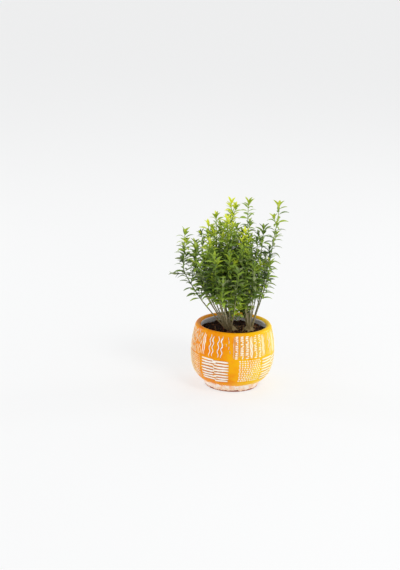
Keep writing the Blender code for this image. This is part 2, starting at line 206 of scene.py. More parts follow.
def relief_group() -> bpy.types.NodeTree:
    """The group that roughens a surface with fine grain of a given size and height."""

    def build(board: Board, given: bpy.types.Node, made: bpy.types.Node) -> None:
        """Lays the nodes."""
        sockets = {"Vector": given.outputs["Vector"], "Scale": given.outputs["Scale"]}
        sockets |= {"Detail": 5.0, "Roughness": 0.65}
        grain = board.add("ShaderNodeTexNoise", sockets).outputs["Fac"]
        sockets = {"Height": grain, "Distance": given.outputs["Height"], "Strength": 1.0}
        bump = board.add("ShaderNodeBump", sockets)
        board.tree.links.new(bump.outputs["Normal"], made.inputs["Normal"])

    vector, value = "NodeSocketVector", "NodeSocketFloat"
    given = {"Vector": vector, "Scale": value, "Height": value}
    return group("fine_grain", given, {"Normal": vector}, build)


class Dressing:
    """One material while it is made: its board, its shader and its object coordinates."""

    def __init__(self, name: str) -> None:
        """Makes the material with a Principled shader."""
        self.material = bpy.data.materials.new(name)
        self.material.use_nodes = True
        self.board = Board(self.material.node_tree)
        self.shader = self.material.node_tree.nodes["Principled BSDF"]
        self.place = self.board.add("ShaderNodeTexCoord").outputs["Object"]

    def set(self, **values: object) -> None:
        """Sets or joins the shader's sockets, named with _ for a space."""
        for name, value in values.items():
            socket = self.shader.inputs[name.replace("_", " ")]
            if isinstance(value, bpy.types.NodeSocket):
                self.board.tree.links.new(value, socket)
            else:
                socket.default_value = rgba(value)

    def stretched(self, scale: tuple[float, float, float]) -> bpy.types.NodeSocket:
        """The object coordinates, stretched along the axes."""
        sockets = {"Vector": self.place, "Scale": scale}
        return self.board.add("ShaderNodeMapping", sockets).outputs["Vector"]

    def patches(self, scale: float, low: object, high: object, place: object = None) -> bpy.types.Node:
        """Adds the group of soft patches."""
        sockets = {"Vector": place or self.place, "Scale": scale}
        sockets |= {"Low": rgba(low), "High": rgba(high)}
        return self.placed_group(mottle_group(), sockets)

    def grain(self, scale: float, height: float, place: object = None) -> bpy.types.NodeSocket:
        """Adds the group of fine grain, and gives its normal."""
        sockets = {"Vector": place or self.place, "Scale": scale, "Height": height}
        return self.placed_group(relief_group(), sockets).outputs["Normal"]

    def placed_group(self, tree: bpy.types.NodeTree, sockets: dict) -> bpy.types.Node:
        """Places a node group, with its inputs set or joined."""
        node = self.board.tree.nodes.new("ShaderNodeGroup")
        node.node_tree = tree
        for key, value in sockets.items():
            if isinstance(value, bpy.types.NodeSocket):
                self.board.tree.links.new(value, node.inputs[key])
            else:
                node.inputs[key].default_value = value
        return node


# Finishes


@dataclass(frozen=True)
class GlazeFinish:
    """The pot's glossy glaze: orange on the left to yellow on the right, lilac inside, a bare pale foot."""

    name: str = "orange_yellow_glaze"
    orange: Colour = srgb("f08600")
    amber: Colour = srgb("f7a404")
    yellow: Colour = srgb("fbcc02")
    lilac: Colour = srgb("fafaff")
    slip: Colour = srgb("fdf3ea")
    clay: Colour = srgb("9a4c26")
    turn_from: float = -34 * MM
    turn_to: float = 52 * MM
    foot_top: float = 13.6 * MM
    foot_edge: float = 3.2 * MM
    inside_radius: float = 55.4 * MM
    inside_top: float = 98.2 * MM
    inside_bottom: float = 20 * MM

    def material(self) -> bpy.types.Material:
        """Builds the material."""
        made = Dressing(self.name)
        board = made.board
        split = board.add("ShaderNodeSeparateXYZ", {"Vector": made.place}).outputs
        wobble = made.patches(28.0, (0.0, 0.0, 0.0), (1.0, 1.0, 1.0)).outputs["Mask"]
        shift = board.maths("MULTIPLY_ADD", wobble, 22 * MM, split["X"])
        turn = board.ranged(shift, (self.turn_from, self.turn_to + 22 * MM))
        half = board.ranged(turn, (0.0, 0.55))
        rest = board.ranged(turn, (0.5, 1.0))
        glaze = board.mixed(rest, board.mixed(half, self.orange, self.amber), self.yellow)
        pooled = made.patches(95.0, (0.0, 0.0, 0.0), (1.0, 1.0, 1.0)).outputs["Mask"]
        glaze = board.mixed(board.maths("MULTIPLY", pooled, 0.28), glaze, self.yellow)
        # The foot: pale slip that the glaze has run over in places, and bare clay at its edge.
        ragged = made.patches(150.0, (0.0, 0.0, 0.0), (1.0, 1.0, 1.0)).outputs["Mask"]
        level = board.maths("MULTIPLY_ADD", ragged, 3.4 * MM, split["Z"])
        above = board.ranged(level, (self.foot_top - 0.2 * MM, self.foot_top + 1.6 * MM))
        foot = board.mixed(board.maths("MULTIPLY", ragged, 0.5), self.slip, self.amber)
        edge = board.ranged(level, (self.foot_edge, self.foot_edge + 1.4 * MM))
        colour = board.mixed(above, board.mixed(edge, self.clay, foot), glaze)
        # The inside: a thin lilac-grey glaze under the lip.
        square = board.maths("MULTIPLY", split["X"], split["X"])
        square = board.maths("MULTIPLY_ADD", split["Y"], split["Y"], square)
        reach = board.maths("SQRT", square)
        inward = board.ranged(reach, (self.inside_radius, self.inside_radius - 0.9 * MM))
        under = board.ranged(split["Z"], (self.inside_top, self.inside_top - 0.9 * MM))
        over = board.ranged(split["Z"], (self.inside_bottom, self.inside_bottom + 1 * MM))
        inside = board.maths("MULTIPLY", board.maths("MULTIPLY", inward, under), over)
        colour = board.mixed(inside, colour, self.lilac)
        made.set(Base_Color=colour, Coat_Weight=0.05, Coat_Roughness=0.08, Specular_IOR_Level=0.1)
        made.set(Roughness=board.ranged(pooled, (0.0, 1.0), (0.3, 0.42)))
        made.set(Normal=made.grain(210.0, 0.25 * MM))
        return made.material


@dataclass(frozen=True)
class SlipFinish:
    """The painted strokes: slip under a thin glaze, which the glaze tints towards the pot's right side; also the darker
    rims of painted shadow round them.
    """

    name: str
    light: Colour
    dark: Colour
    right: Colour
    tinted: tuple[float, float] = (-5 * MM, 60 * MM)

    def material(self) -> bpy.types.Material:
        """Builds the material."""
        made = Dressing(self.name)
        board = made.board
        spots = made.patches(160.0, self.dark, self.light)
        split = board.add("ShaderNodeSeparateXYZ", {"Vector": made.place}).outputs
        colour = board.mixed(board.ranged(split["X"], self.tinted), spots.outputs["Colour"], self.right)
        made.set(Base_Color=colour, Coat_Weight=0.1, Specular_IOR_Level=0.3)
        rough = board.ranged(spots.outputs["Mask"], (0.0, 1.0), (0.34, 0.5))
        made.set(Roughness=rough, Normal=made.grain(900.0, 0.08 * MM))
        return made.material


@dataclass(frozen=True)
class EarthFinish:
    """Damp compost, and the crumbs and bits that lie on it."""

    name: str
    dark: Colour
    light: Colour
    patch: float = 260.0
    roughness: tuple[float, float] = (0.75, 0.95)

    def material(self) -> bpy.types.Material:
        """Builds the material."""
        made = Dressing(self.name)
        spots = made.patches(self.patch, self.dark, self.light)
        rough = made.board.ranged(spots.outputs["Mask"], (0.0, 1.0), self.roughness)
        made.set(Base_Color=spots.outputs["Colour"], Roughness=rough, Specular_IOR_Level=0.15)
        made.set(Normal=made.grain(1100.0, 0.5 * MM))
        return made.material


@dataclass(frozen=True)
class BarkFinish:
    """Bark with long streaks, from brown at the foot to another colour higher up."""

    name: str
    low: Colour
    high: Colour
    streak: Colour
    levels: tuple[float, float]
    streak_share: float = 0.5
    roughness: tuple[float, float] = (0.6, 0.85)

    def material(self) -> bpy.types.Material:
        """Builds the material."""
        made = Dressing(self.name)
        board = made.board
        height = board.add("ShaderNodeSeparateXYZ", {"Vector": made.place}).outputs["Z"]
        along = made.stretched((1.0, 1.0, 0.16))
        colour = board.mixed(board.ranged(height, self.levels), self.low, self.high)
        tone = made.patches(130.0, (0.0, 0.0, 0.0), (1.0, 1.0, 1.0), made.stretched((1.0, 1.0, 0.1)))
        colour = board.mixed(board.maths("MULTIPLY", tone.outputs["Mask"], 0.55), colour, self.streak)
        streaks = made.patches(1500.0, (0.0, 0.0, 0.0), (1.0, 1.0, 1.0), along).outputs["Mask"]
        share = board.maths("MULTIPLY", streaks, self.streak_share)
        rough = board.ranged(streaks, (0.0, 1.0), self.roughness)
        made.set(Base_Color=board.mixed(share, colour, self.streak), Roughness=rough)
        made.set(Normal=made.grain(1700.0, 0.3 * MM, along))
        return made.material


@dataclass(frozen=True)
class LeafFinish:
    """A leaf's skin: one plain colour, waxy, with gloss that varies a little."""

    name: str
    colour: Colour
    roughness: tuple[float, float] = (0.36, 0.52)

    def material(self) -> bpy.types.Material:
        """Builds the material."""
        made = Dressing(self.name)
        wax = made.patches(700.0, (0.0, 0.0, 0.0), (1.0, 1.0, 1.0)).outputs["Mask"]
        rough = made.board.ranged(wax, (0.0, 1.0), self.roughness)
        made.set(Base_Color=self.colour, Roughness=rough, Specular_IOR_Level=0.5)
        made.set(Normal=made.grain(1400.0, 0.05 * MM))
        return made.material


class Shade(Enum):
    """The leaf colours, from the youngest at a shoot's tip to the darker and greyer ones low inside, which are partly
    older leaves and partly painted shade and sheen.
    """

    TIP = LeafFinish("leaf_skin_tip", srgb("e6ee48"))
    LIME = LeafFinish("leaf_skin_lime", srgb("c6d43c"))
    BRIGHT = LeafFinish("leaf_skin_bright", srgb("abc13a"))
    FRESH = LeafFinish("leaf_skin_fresh", srgb("95b03c"))
    MID = LeafFinish("leaf_skin_mid", srgb("6f8a34"))
    # DEEP and DARK go to low and inner leaves: partly their age, partly painted shade.
    DEEP = LeafFinish("leaf_skin_deep", srgb("4f6829"))
    DARK = LeafFinish("leaf_skin_dark", srgb("3a4c20"))
    # The greyish green below goes to low leaves: partly their age, partly painted sheen.
    OLD = LeafFinish("leaf_skin_old", srgb("889462"))


LEAF_ORDER = tuple(Shade)


# Meshes


def piece(
    name: str,
    bm: bmesh.types.BMesh,
    material: bpy.types.Material,
    slot: Slot,
    nodes: Iterable[str] = (),
    sharp: float = 45.0,
) -> bpy.types.Object:
    """Puts a finished bmesh into the scene as one piece of the object.

    Args:
        name: The piece's name.
        bm: Its shape. It is freed here.
        material: What it is made of.
        slot: The record's slot that its finish belongs to; it is not used.
        nodes: The CAD nodes that it stands for.
        sharp: The angle in degrees over which an edge looks sharp.

    Returns:
        The new object.
    """
    mesh = bpy.data.meshes.new(name)
    bm.to_mesh(mesh)
    bm.free()
    mesh.materials.append(material)
    mesh.shade_smooth()
    mesh.set_sharp_from_angle(angle=math.radians(sharp))
    obj = bpy.data.objects.new(name, mesh)
    bpy.context.scene.collection.objects.link(obj)
    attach(obj, BODY)
    if nodes:
        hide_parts(*nodes)
    LOG.info("%s: %d faces", name, len(mesh.polygons))
    return obj


def turned(profile: list[tuple[float, float]], segments: int) -> bmesh.types.BMesh:
    """Spins a profile round the Z axis.

    Args:
        profile: (radius, height) points, from the axis round to the axis again.
        segments: How many steps the turn has.

    Returns:
        The closed shape.
    """
    bm = bmesh.new()
    rim = [bm.verts.new((radius, 0, level)) for radius, level in profile]
    edges = [bm.edges.new(pair) for pair in zip(rim, rim[1:])]
    bmesh.ops.spin(
        bm,
        geom=rim + edges,
        cent=(0, 0, 0),
        axis=UP,
        angle=math.tau,
        steps=segments,
        use_merge=True,
    )
    bmesh.ops.remove_doubles(bm, verts=bm.verts, dist=0.005 * MM)
    bmesh.ops.recalc_face_normals(bm, faces=bm.faces)
    return bm


def pour(part: bmesh.types.BMesh, into: bmesh.types.BMesh) -> None:
    """Adds one bmesh to another and frees it."""
    mesh = bpy.data.meshes.new("poured")
    part.to_mesh(mesh)
    part.free()
    into.from_mesh(mesh)
    bpy.data.meshes.remove(mesh)


class Stamp:
    """A small shape that is set down many times."""

    def __init__(self, bm: bmesh.types.BMesh) -> None:
        """Keeps the shape. The bmesh is freed."""
        self.mesh = bpy.data.meshes.new("stamp")
        bm.to_mesh(self.mesh)
        bm.free()

    def press(self, into: bmesh.types.BMesh, place: Matrix) -> None:
        """Sets the shape down once, moved by a matrix."""
        copy = self.mesh.copy()
        copy.transform(place)
        into.from_mesh(copy)
        bpy.data.meshes.remove(copy)


# The line that each limb follows


@dataclass(frozen=True)
class Shoot:
    """One shoot of the clump, as in the CAD source.

    Attributes:
        name: The shoot's plain name.
        crown: The crown that it rises from.
        top: Its top in millimetres.
        turn_up: How early it turns up.
        bare: The height over the compost, in millimetres, at which its leaves begin.
        upright: The share of its rise from which it stands upright.
        step: The distance between its leaf pairs, in millimetres.
        side_twigs: How many side twigs it has for each 100 mm.
        young: How far up the colours are shifted towards the young ones.
        girth: Its thickness against a full shoot's.
        lowered: How far below its leafy twig's foot its first leaves stand, in millimetres.
    """

    name: str
    crown: str
    top: tuple[float, float, float]
    turn_up: float
    bare: float
    upright: float = 1.0
    step: float = 4.4
    side_twigs: float = 5.3
    young: float = 0.0
    girth: float = 1.0
    lowered: float = 0.0


SHOOTS = (
    Shoot("far_left", "left", (-81, 5, 250), 1.4, 49, 0.65, 5.0, 2.6, 0.5),
    Shoot("left_slim", "left", (-65, 20, 229), 1.5, 76, 0.8, 4.8, 2.4, 0.3),
    Shoot("left_third", "left", (-62, -8, 229), 1.6, 57, 0.9, 4.8, 2.8, 0.3),
    Shoot("left_shoulder", "left", (-45, -4, 267), 1.6, 45, side_twigs=7.0, young=1.2),
    Shoot("left_tall", "left", (-33, 21, 274), 1.6, 41, side_twigs=6.5, young=0.3, lowered=4.0),
    Shoot("top_centre", "left", (-10, 8, 300), 1.5, 43, side_twigs=7.0, young=1.6, lowered=5.0),
    Shoot("centre_bright", "left", (-15, -19, 279), 1.5, 48, side_twigs=7.0, young=1.4, lowered=3.0),
    Shoot("front_left_bright", "left", (-42, -34, 245), 1.6, 52, young=0.9),
    Shoot("front_left_low", "left", (-34, -54, 228), 1.7, 56, young=0.35),
    Shoot("front_left_outer", "left", (-56, -42, 210), 1.3, 51),
    Shoot("front_centre", "left", (-11, -44, 225), 1.6, 54),
    Shoot("front_low_left", "left", (-19, -66, 188), 1.6, 58, 0.95),
    Shoot("front_low_right", "left", (3, -62, 207), 1.7, 59, young=0.15, lowered=8.0),
    Shoot("back_left", "left", (-27, 44, 253), 1.6, 39, side_twigs=5.5, young=0.3, lowered=4.0),
    Shoot("back_left_outer", "left", (-52, 45, 222), 1.7, 41, 0.95, young=0.2),
    Shoot("back_centre", "left", (-11, 64, 213), 1.8, 37, 0.95, side_twigs=5.0, young=0.5),
    Shoot("top_right", "right", (16, 12, 299), 1.5, 43, 1.0, 5.2, 3.0, 0.3, lowered=7.0),
    Shoot("right_bright", "right", (12, -15, 258), 1.5, 49, young=1.3, lowered=9.0),
    Shoot("front_right", "right", (9, -38, 235), 1.6, 53, young=0.1, lowered=6.0),
    Shoot("front_right_outer", "right", (28, -49, 216), 1.6, 56, side_twigs=1.8, lowered=-10.0),
    Shoot("right_inner", "right", (31, -12, 245), 1.5, 47, side_twigs=3.8, young=0.1, lowered=-6.0),
    Shoot("right_mid", "right", (42, 15, 257), 1.4, 43, 1.0, 5.8, 2.6, -0.5, lowered=-12.0),
    Shoot("far_right", "right", (65, 8, 297), 1.3, 49, 1.0, 6.2, 2.8, 0.5, lowered=-24.0),
    Shoot("right_low", "right", (54, -16, 211), 1.2, 42, 1.0, 5.2, 2.6, lowered=-14.0),
    Shoot("back_right_tall", "right", (0, 38, 253), 1.6, 40, side_twigs=5.0, young=0.4, lowered=6.0),
    Shoot("back_right", "right", (26, 42, 229), 1.7, 39, side_twigs=2.5, young=0.2, lowered=-12.0),
    Shoot("back_right_outer", "right", (48, 42, 207), 1.7, 41, 0.95, 5.2, 1.8, lowered=-14.0),
    Shoot("back_right_low", "right", (16, 64, 201), 1.8, 37, 0.95, 4.8, 2.4, 0.3, lowered=-16.0),
)
CROWNS = {"left": Vector((-4, 2, 0)) * MM, "right": Vector((25, 1, 0)) * MM}
CLUMP_CENTRE = sum(CROWNS.values(), Vector()) / len(CROWNS)
LEAFY_CENTRE = Vector((-4, 0, 0)) * MM
SOIL_LEVEL = 90 * MM
CROWN_DEPTH = 3 * MM
FOOT_SPREAD = 0.06
BUD_RISE = 7 * MM
STUB_RISE = 15 * MM


class Line:
    """A limb's centre line, read by length."""

    length: float

    def at(self, s: float) -> tuple[Vector, Vector]:
        """The point and the direction at a length along the line."""
        raise NotImplementedError

    def station(self, s: float, radius: float, turn: float = 0.0) -> Matrix:
        """The matrix that sets a unit circle square to the line at a length, with a radius."""
        point, direction = self.at(s)
        side = square_to(direction, turn)
        across = direction.cross(side)
        axes = Matrix((side * radius, across * radius, direction * radius)).transposed()
        return Matrix.Translation(point) @ axes.to_4x4()


class RisingLine(Line):
    """The centre line of a shoot: it leans out from its foot, sways a little and turns up towards its top."""

    COUNT = 60
    SWAY = 1.7 * MM

    def __init__(self, foot: Vector, top: Vector, turn_up: float, upright: float = 1.0) -> None:
        """Works out the line's points."""
        self.points = []
        for i in range(self.COUNT + 1):
            t = i / self.COUNT
            leant = 1 - max(1 - t / upright, 0) ** turn_up
            flat = foot.lerp(top, leant)
            at = Vector((5.0 * t, 211 * top.x, 97 * top.y))
            bend = Vector((noise.noise(at), noise.noise(at + UP * 31.4), 0))
            flat += bend * self.SWAY * min(5 * t, 1)
            self.points.append(Vector((flat.x, flat.y, foot.z + (top.z - foot.z) * t)))
        self.lengths = [0.0]
        for a, b in zip(self.points, self.points[1:]):
            self.lengths.append(self.lengths[-1] + (b - a).length)
        self.length = self.lengths[-1]

    def at(self, s: float) -> tuple[Vector, Vector]:
        """The point and the direction at a length along the line."""
        s = min(max(s, 0), self.length)
        i = 0
        while i < self.COUNT - 1 and self.lengths[i + 1] < s:
            i += 1
        a, b = self.points[i], self.points[i + 1]
        share = (s - self.lengths[i]) / (self.lengths[i + 1] - self.lengths[i])
        return a.lerp(b, share), (b - a).normalized()

    def rise_to(self, height: float) -> float:
        """The length at which the line reaches a height over the compost."""
        s = 0.0
        while s < self.length and self.at(s)[0].z < SOIL_LEVEL + height:
            s += 0.5 * MM
        return s


class ShootLine(RisingLine):
    """A shoot's centre line, from its place on the crown to its tip."""

    def __init__(self, shoot: Shoot) -> None:
        """Works out the line's points."""
        top = Vector(shoot.top) * MM - UP * BUD_RISE
        centre = CROWNS[shoot.crown]
        out = Vector((top.x - centre.x, top.y - centre.y, 0))
        foot = centre + out * FOOT_SPREAD + UP * (SOIL_LEVEL - CROWN_DEPTH)
        super().__init__(foot, top, shoot.turn_up, shoot.upright)


class BentLine(Line):
    """The centre line of a side twig or a root: it leaves at an angle and bends up, or down."""

    def __init__(self, root: Vector, direction: Vector, length: float, bend: float) -> None:
        """Works out the line's three points."""
        self.length = length
        tip = root + (direction + UP * bend).normalized() * length
        self.curve = (root, root + direction * length / 2, tip)

    def at(self, s: float) -> tuple[Vector, Vector]:
        """The point and the direction at a length along the line."""
        t = min(max(s / self.length, 0), 1)
        a, b, c = self.curve
        point = a * (1 - t) ** 2 + b * 2 * t * (1 - t) + c * t**2
        return point, ((b - a) * (1 - t) + (c - b) * t).normalized()


@dataclass(frozen=True)
class Fork:
    """A slimmer shoot inside the clump, which forks off from one of the main ones."""

    shoot: Shoot
    line: RisingLine


@dataclass
class InnerForks:
    """Slimmer, lower shoots that fill the clump between the main ones, by the same rule."""

    count: int = 34
    tries: int = 700
    reach: tuple[float, float] = (6.0, 56.0)
    tops: tuple[float, float] = (168.0, 262.0)
    above_bare: tuple[float, float] = (-4.0, 14.0)
    lean: float = 0.62
    girth: float = 0.7
    step: float = 4.0
    seed: int = 23

    def sprout(self, rng: random.Random, index: int, mains: dict[Shoot, ShootLine]) -> Fork | None:
        """Draws one shoot and the main one that it forks off from. The further out, the lower."""
        share = rng.random()
        reach = self.reach[0] + (self.reach[1] - self.reach[0]) * share
        angle = rng.uniform(0, math.tau)
        level = self.tops[1] - (self.tops[1] - self.tops[0]) * share + rng.uniform(-14, 14)
        wide = 1.02 if math.cos(angle) < 0 else 0.72
        top = LEAFY_CENTRE + Vector((reach * math.cos(angle) * wide, reach * math.sin(angle), level)) * MM
        best, nearest = None, math.inf
        for shoot, line in mains.items():
            root = line.at(line.rise_to((shoot.bare + rng.uniform(*self.above_bare)) * MM))[0]
            apart = (top - root).xy.length
            if 7 * MM < apart < self.lean * (top.z - root.z) and apart < nearest:
                best, nearest = (shoot, root), apart
        if not best:
            return None
        name, turn_up = f"inner_{index}", rng.uniform(1.4, 2.0)
        shoot = Shoot(name, best[0].name, tuple(top / MM), turn_up, 0, step=self.step, girth=self.girth)
        return Fork(shoot, RisingLine(best[1], top, shoot.turn_up))

    def grow(self, mains: dict[Shoot, ShootLine]) -> list[Fork]:
        """The forks that stay clear of the shoots already in place."""
        room, rng = Room(), random.Random(self.seed)
        for shoot, line in mains.items():
            room.add(rod(line, line.rise_to(STUB_RISE), line.length, 1.4 * MM), shoot.name)
        found: list[Fork] = []
        for _ in range(self.tries):
            fork = self.sprout(rng, len(found), mains) if len(found) < self.count else None
            if fork:
                shape = rod(fork.line, 5 * MM, fork.line.length, 1.0 * MM)
                if room.clear(shape, set()):
                    room.add(shape, fork.shoot.name)
                    found.append(fork)
        LOG.info("%d inner shoots", len(found))
        return found


def square_to(direction: Vector, turn: float) -> Vector:
    """A unit vector square to a direction, turned round it by an angle."""
    side = direction.cross(Vector((0.31, -0.95, 0.05))).normalized()
    return Matrix.Rotation(turn, 3, direction) @ side


def limb(line: Line, stations: list[tuple[float, float]], sides: int) -> bmesh.types.BMesh:
    """Extrudes a ring along a line into a closed limb.

    Args:
        line: The limb's centre line.
        stations: (length along the line, radius) pairs.
        sides: How many sides the limb has.

    Returns:
        The limb.
    """
    bm = bmesh.new()
    ring = bmesh.ops.create_circle(bm, cap_ends=True, radius=1, segments=sides)["verts"]
    last = line.station(*stations[0])
    bmesh.ops.transform(bm, matrix=last, verts=ring)
    cap = ring[0].link_faces[0]
    for s, radius in stations[1:]:
        grown = bmesh.ops.extrude_face_region(bm, geom=[cap])["geom"]
        ring = [g for g in grown if isinstance(g, bmesh.types.BMVert)]
        cap = next(g for g in grown if isinstance(g, bmesh.types.BMFace))
        place = line.station(s, radius)
        bmesh.ops.transform(bm, matrix=place @ last.inverted(), verts=ring)
        last = place
    bmesh.ops.recalc_face_normals(bm, faces=bm.faces)
    return bm


def roughen(bm: bmesh.types.BMesh, height: float, size: Vector) -> None:
    """Moves each vertex along its normal by noise, to give bark or earth its relief.

    Args:
        bm: The shape.
        height: How far a vertex moves at most.
        size: The noise's grain along each axis, in metres.
    """
    bm.normal_update()
    moves = []
    for vertex in bm.verts:
        at = Vector(vertex.co[i] / size[i] for i in range(3))
        moves.append(vertex.normal * height * noise.noise(at))
    for vertex, move in zip(bm.verts, moves):
        vertex.co += move


# The pot


@dataclass
class Pot:
    """The round glazed pot: a foot, a full belly and a thick rolled lip."""

    height: float = 101.3 * MM
    foot_radius: float = 41.6 * MM
    foot_chamfer: float = 1 * MM
    foot_top_radius: float = 44.6 * MM
    foot_height: float = 8.5 * MM
    belly_radius: float = 65.5 * MM
    belly_level: float = 60 * MM
    lower_depth: float = 58 * MM
    lower_fullness: float = 2.92
    upper_depth: float = 106 * MM
    upper_fullness: float = 1.79
    lip_outer_level: float = 94.8 * MM
    lip_inner_level: float = 95.8 * MM
    mouth_radius: float = 51.1 * MM
    wall: float = 7.5 * MM
    cavity_floor: float = 12 * MM
    cavity_floor_radius: float = 40 * MM
    cavity_flare: float = 2.2
    segments: int = 192
    ripple: float = 0.22 * MM

    def outer_radius(self, level: float) -> float:
        """The outer radius at a height: two half ovals that meet at the belly, and the lip's round flank."""
        if level > self.lip_outer_level:
            lip_outer = self.outer_radius(self.lip_outer_level)
            rise = (level - self.lip_outer_level) / (self.height - self.lip_outer_level)
            return lip_outer - (lip_outer - self.mouth_radius) / 2 * (1 - math.sqrt(max(1 - rise**2, 0)))
        if level < self.belly_level:
            share = (self.belly_level - level) / self.lower_depth
            fullness = self.lower_fullness
        else:
            share = (level - self.belly_level) / self.upper_depth
            fullness = self.upper_fullness
        return self.belly_radius * (1 - share**fullness) ** (1 / fullness)

    def inner_radius(self, level: float) -> float:
        """The cavity's radius: one wall in from the body, drawn in at the floor and to the mouth."""
        wall = self.outer_radius(max(level, self.foot_height)) - self.wall
        low = self.cavity_floor_radius + self.cavity_flare * (level - self.cavity_floor)
        return min(wall, low)

    def profile(self) -> list[tuple[float, float]]:
        """(radius, height) points from the centre of the underside, out, up, over and down inside."""
        points = [(0.0, 0.0), (self.foot_radius - self.foot_chamfer, 0.0)]
        for turn in (30, 60, 90):
            swing = math.radians(turn)
            out = self.foot_radius - self.foot_chamfer * (1 - math.sin(swing))
            points.append((out, self.foot_chamfer * (1 - math.cos(swing))))
        points.append((43.8 * MM, 5.6 * MM))
        points.append((44.0 * MM, 7.4 * MM))
        points.append((self.foot_top_radius, self.foot_height))
        levels = [9.2, 10, 11.5, 13.5, 16, 19, 23] + list(range(27, 92, 4)) + [93.5]
        points += [(self.outer_radius(z * MM), z * MM) for z in levels]
        lip_outer = self.outer_radius(self.lip_outer_level)
        middle = (lip_outer + self.mouth_radius) / 2
        half = (lip_outer - self.mouth_radius) / 2
        for degrees in range(0, 181, 12):
            turn = math.radians(degrees)
            level = self.lip_outer_level if degrees < 90 else self.lip_inner_level
            rise = (self.height - level) * math.sin(turn)
            points.append((middle + half * math.cos(turn), level + rise))
        inside = (93, 91, 88, 84, 78, 70, 62, 52, 40, 30, 20, 15)
        points += [(self.inner_radius(z * MM), z * MM) for z in inside]
        points += [(self.cavity_floor_radius, self.cavity_floor), (0.0, self.cavity_floor)]
        return points

    def surface(self, phi: float, level: float, lift: float) -> Vector:
        """A point over the outside of the pot.

        Args:
            phi: The angle from the front, positive to the viewer's right, in radians.
            level: The height.
            lift: How far over the glaze the point lies.

        Returns:
            The point.
        """
        step = 0.5 * MM
        slope = self.outer_radius(level + step) - self.outer_radius(level - step)
        out = Vector((2 * step, -slope)).normalized()
        radius = self.outer_radius(level) + lift * out.x
        return Vector((radius * math.sin(phi), -radius * math.cos(phi), level + lift * out.y))

    def build(self) -> None:
        """Builds and dresses the pot."""
        bm = turned(self.profile(), self.segments)
        for vertex in bm.verts:
            if vertex.co.z > self.foot_height and vertex.co.xy.length > self.mouth_radius:
                wave = noise.noise(vertex.co / (26 * MM)) * self.ripple
                vertex.co.xy += vertex.co.xy.normalized() * wave
        piece("pot_glazed", bm, GlazeFinish().material(), Slot.GLAZE, ("pot",), 35.0)


class Motif(Enum):
    """What a stretch of the painting is filled with."""

    ROPE = "rope"
    COLUMN = "column"
    WAVES = "waves"
    LINE = "line"
    LADDER = "ladder"
    DROPS = "drops"
    BLOCK = "block"
    NET = "net"
    DASHES = "dashes"
    BRICKS = "bricks"


@dataclass(frozen=True)
class Stretch:
    """A stretch of one band of the painting, between two angles from the front, in degrees."""

    motif: Motif
    start: float
    end: float


UPPER_BAND = (
    Stretch(Motif.ROPE, -88, -61.5),
    Stretch(Motif.ROPE, -60, -49.5),
    Stretch(Motif.COLUMN, -48.5, -42.5),
    Stretch(Motif.WAVES, -36, -28.5),
    Stretch(Motif.WAVES, -23, -15),
    Stretch(Motif.DROPS, -14, -3),
    Stretch(Motif.LINE, 0.2, 1.2),
    Stretch(Motif.LADDER, 2.2, 7.4),
    Stretch(Motif.LADDER, 9.4, 15.4),
    Stretch(Motif.LADDER, 17.0, 23.2),
    Stretch(Motif.COLUMN, 24.4, 28.4),
    Stretch(Motif.LADDER, 29.6, 36.0),
    Stretch(Motif.LADDER, 37.4, 43.6),
    Stretch(Motif.COLUMN, 44.8, 49.6),
    Stretch(Motif.LINE, 51, 52),
    Stretch(Motif.LINE, 55, 56),
    Stretch(Motif.WAVES, 59, 66),
    Stretch(Motif.COLUMN, 69, 77),
    Stretch(Motif.ROPE, 81, 97),
    Stretch(Motif.WAVES, 102, 109),
    Stretch(Motif.LADDER, 113, 119),
    Stretch(Motif.LADDER, 121, 127),
    Stretch(Motif.DROPS, 129, 141),
    Stretch(Motif.COLUMN, 144, 151),
    Stretch(Motif.WAVES, 156, 164),
    Stretch(Motif.WAVES, 169, 177),
    Stretch(Motif.BLOCK, 181, 193),
    Stretch(Motif.LADDER, 196, 202),
    Stretch(Motif.LADDER, 204, 210),
    Stretch(Motif.WAVES, 215, 223),
    Stretch(Motif.COLUMN, 227, 234),
    Stretch(Motif.ROPE, 237, 255),
    Stretch(Motif.WAVES, 259, 267),
)
LOWER_BAND = (
    Stretch(Motif.NET, -88, -51),
    Stretch(Motif.DASHES, -49, -4.5),
    Stretch(Motif.BRICKS, 8, 42),
    Stretch(Motif.DASHES, 43, 84),
    Stretch(Motif.NET, 87, 118),
    Stretch(Motif.DASHES, 121, 166),
    Stretch(Motif.BRICKS, 172, 208),
    Stretch(Motif.DASHES, 211, 255),
    Stretch(Motif.NET, 257, 271),
)


def eased(points: list[tuple[float, float]], count: int) -> list[tuple[float, float]]:
    """The same line in more steps, closer together at its ends."""
    found = []
    for i in range(count + 1):
        share = (1 - math.cos(math.pi * i / count)) / 2 * (len(points) - 1)
        k = min(int(share), len(points) - 2)
        part = share - k
        found.append(tuple(a + (b - a) * part for a, b in zip(points[k], points[k + 1])))
    return found


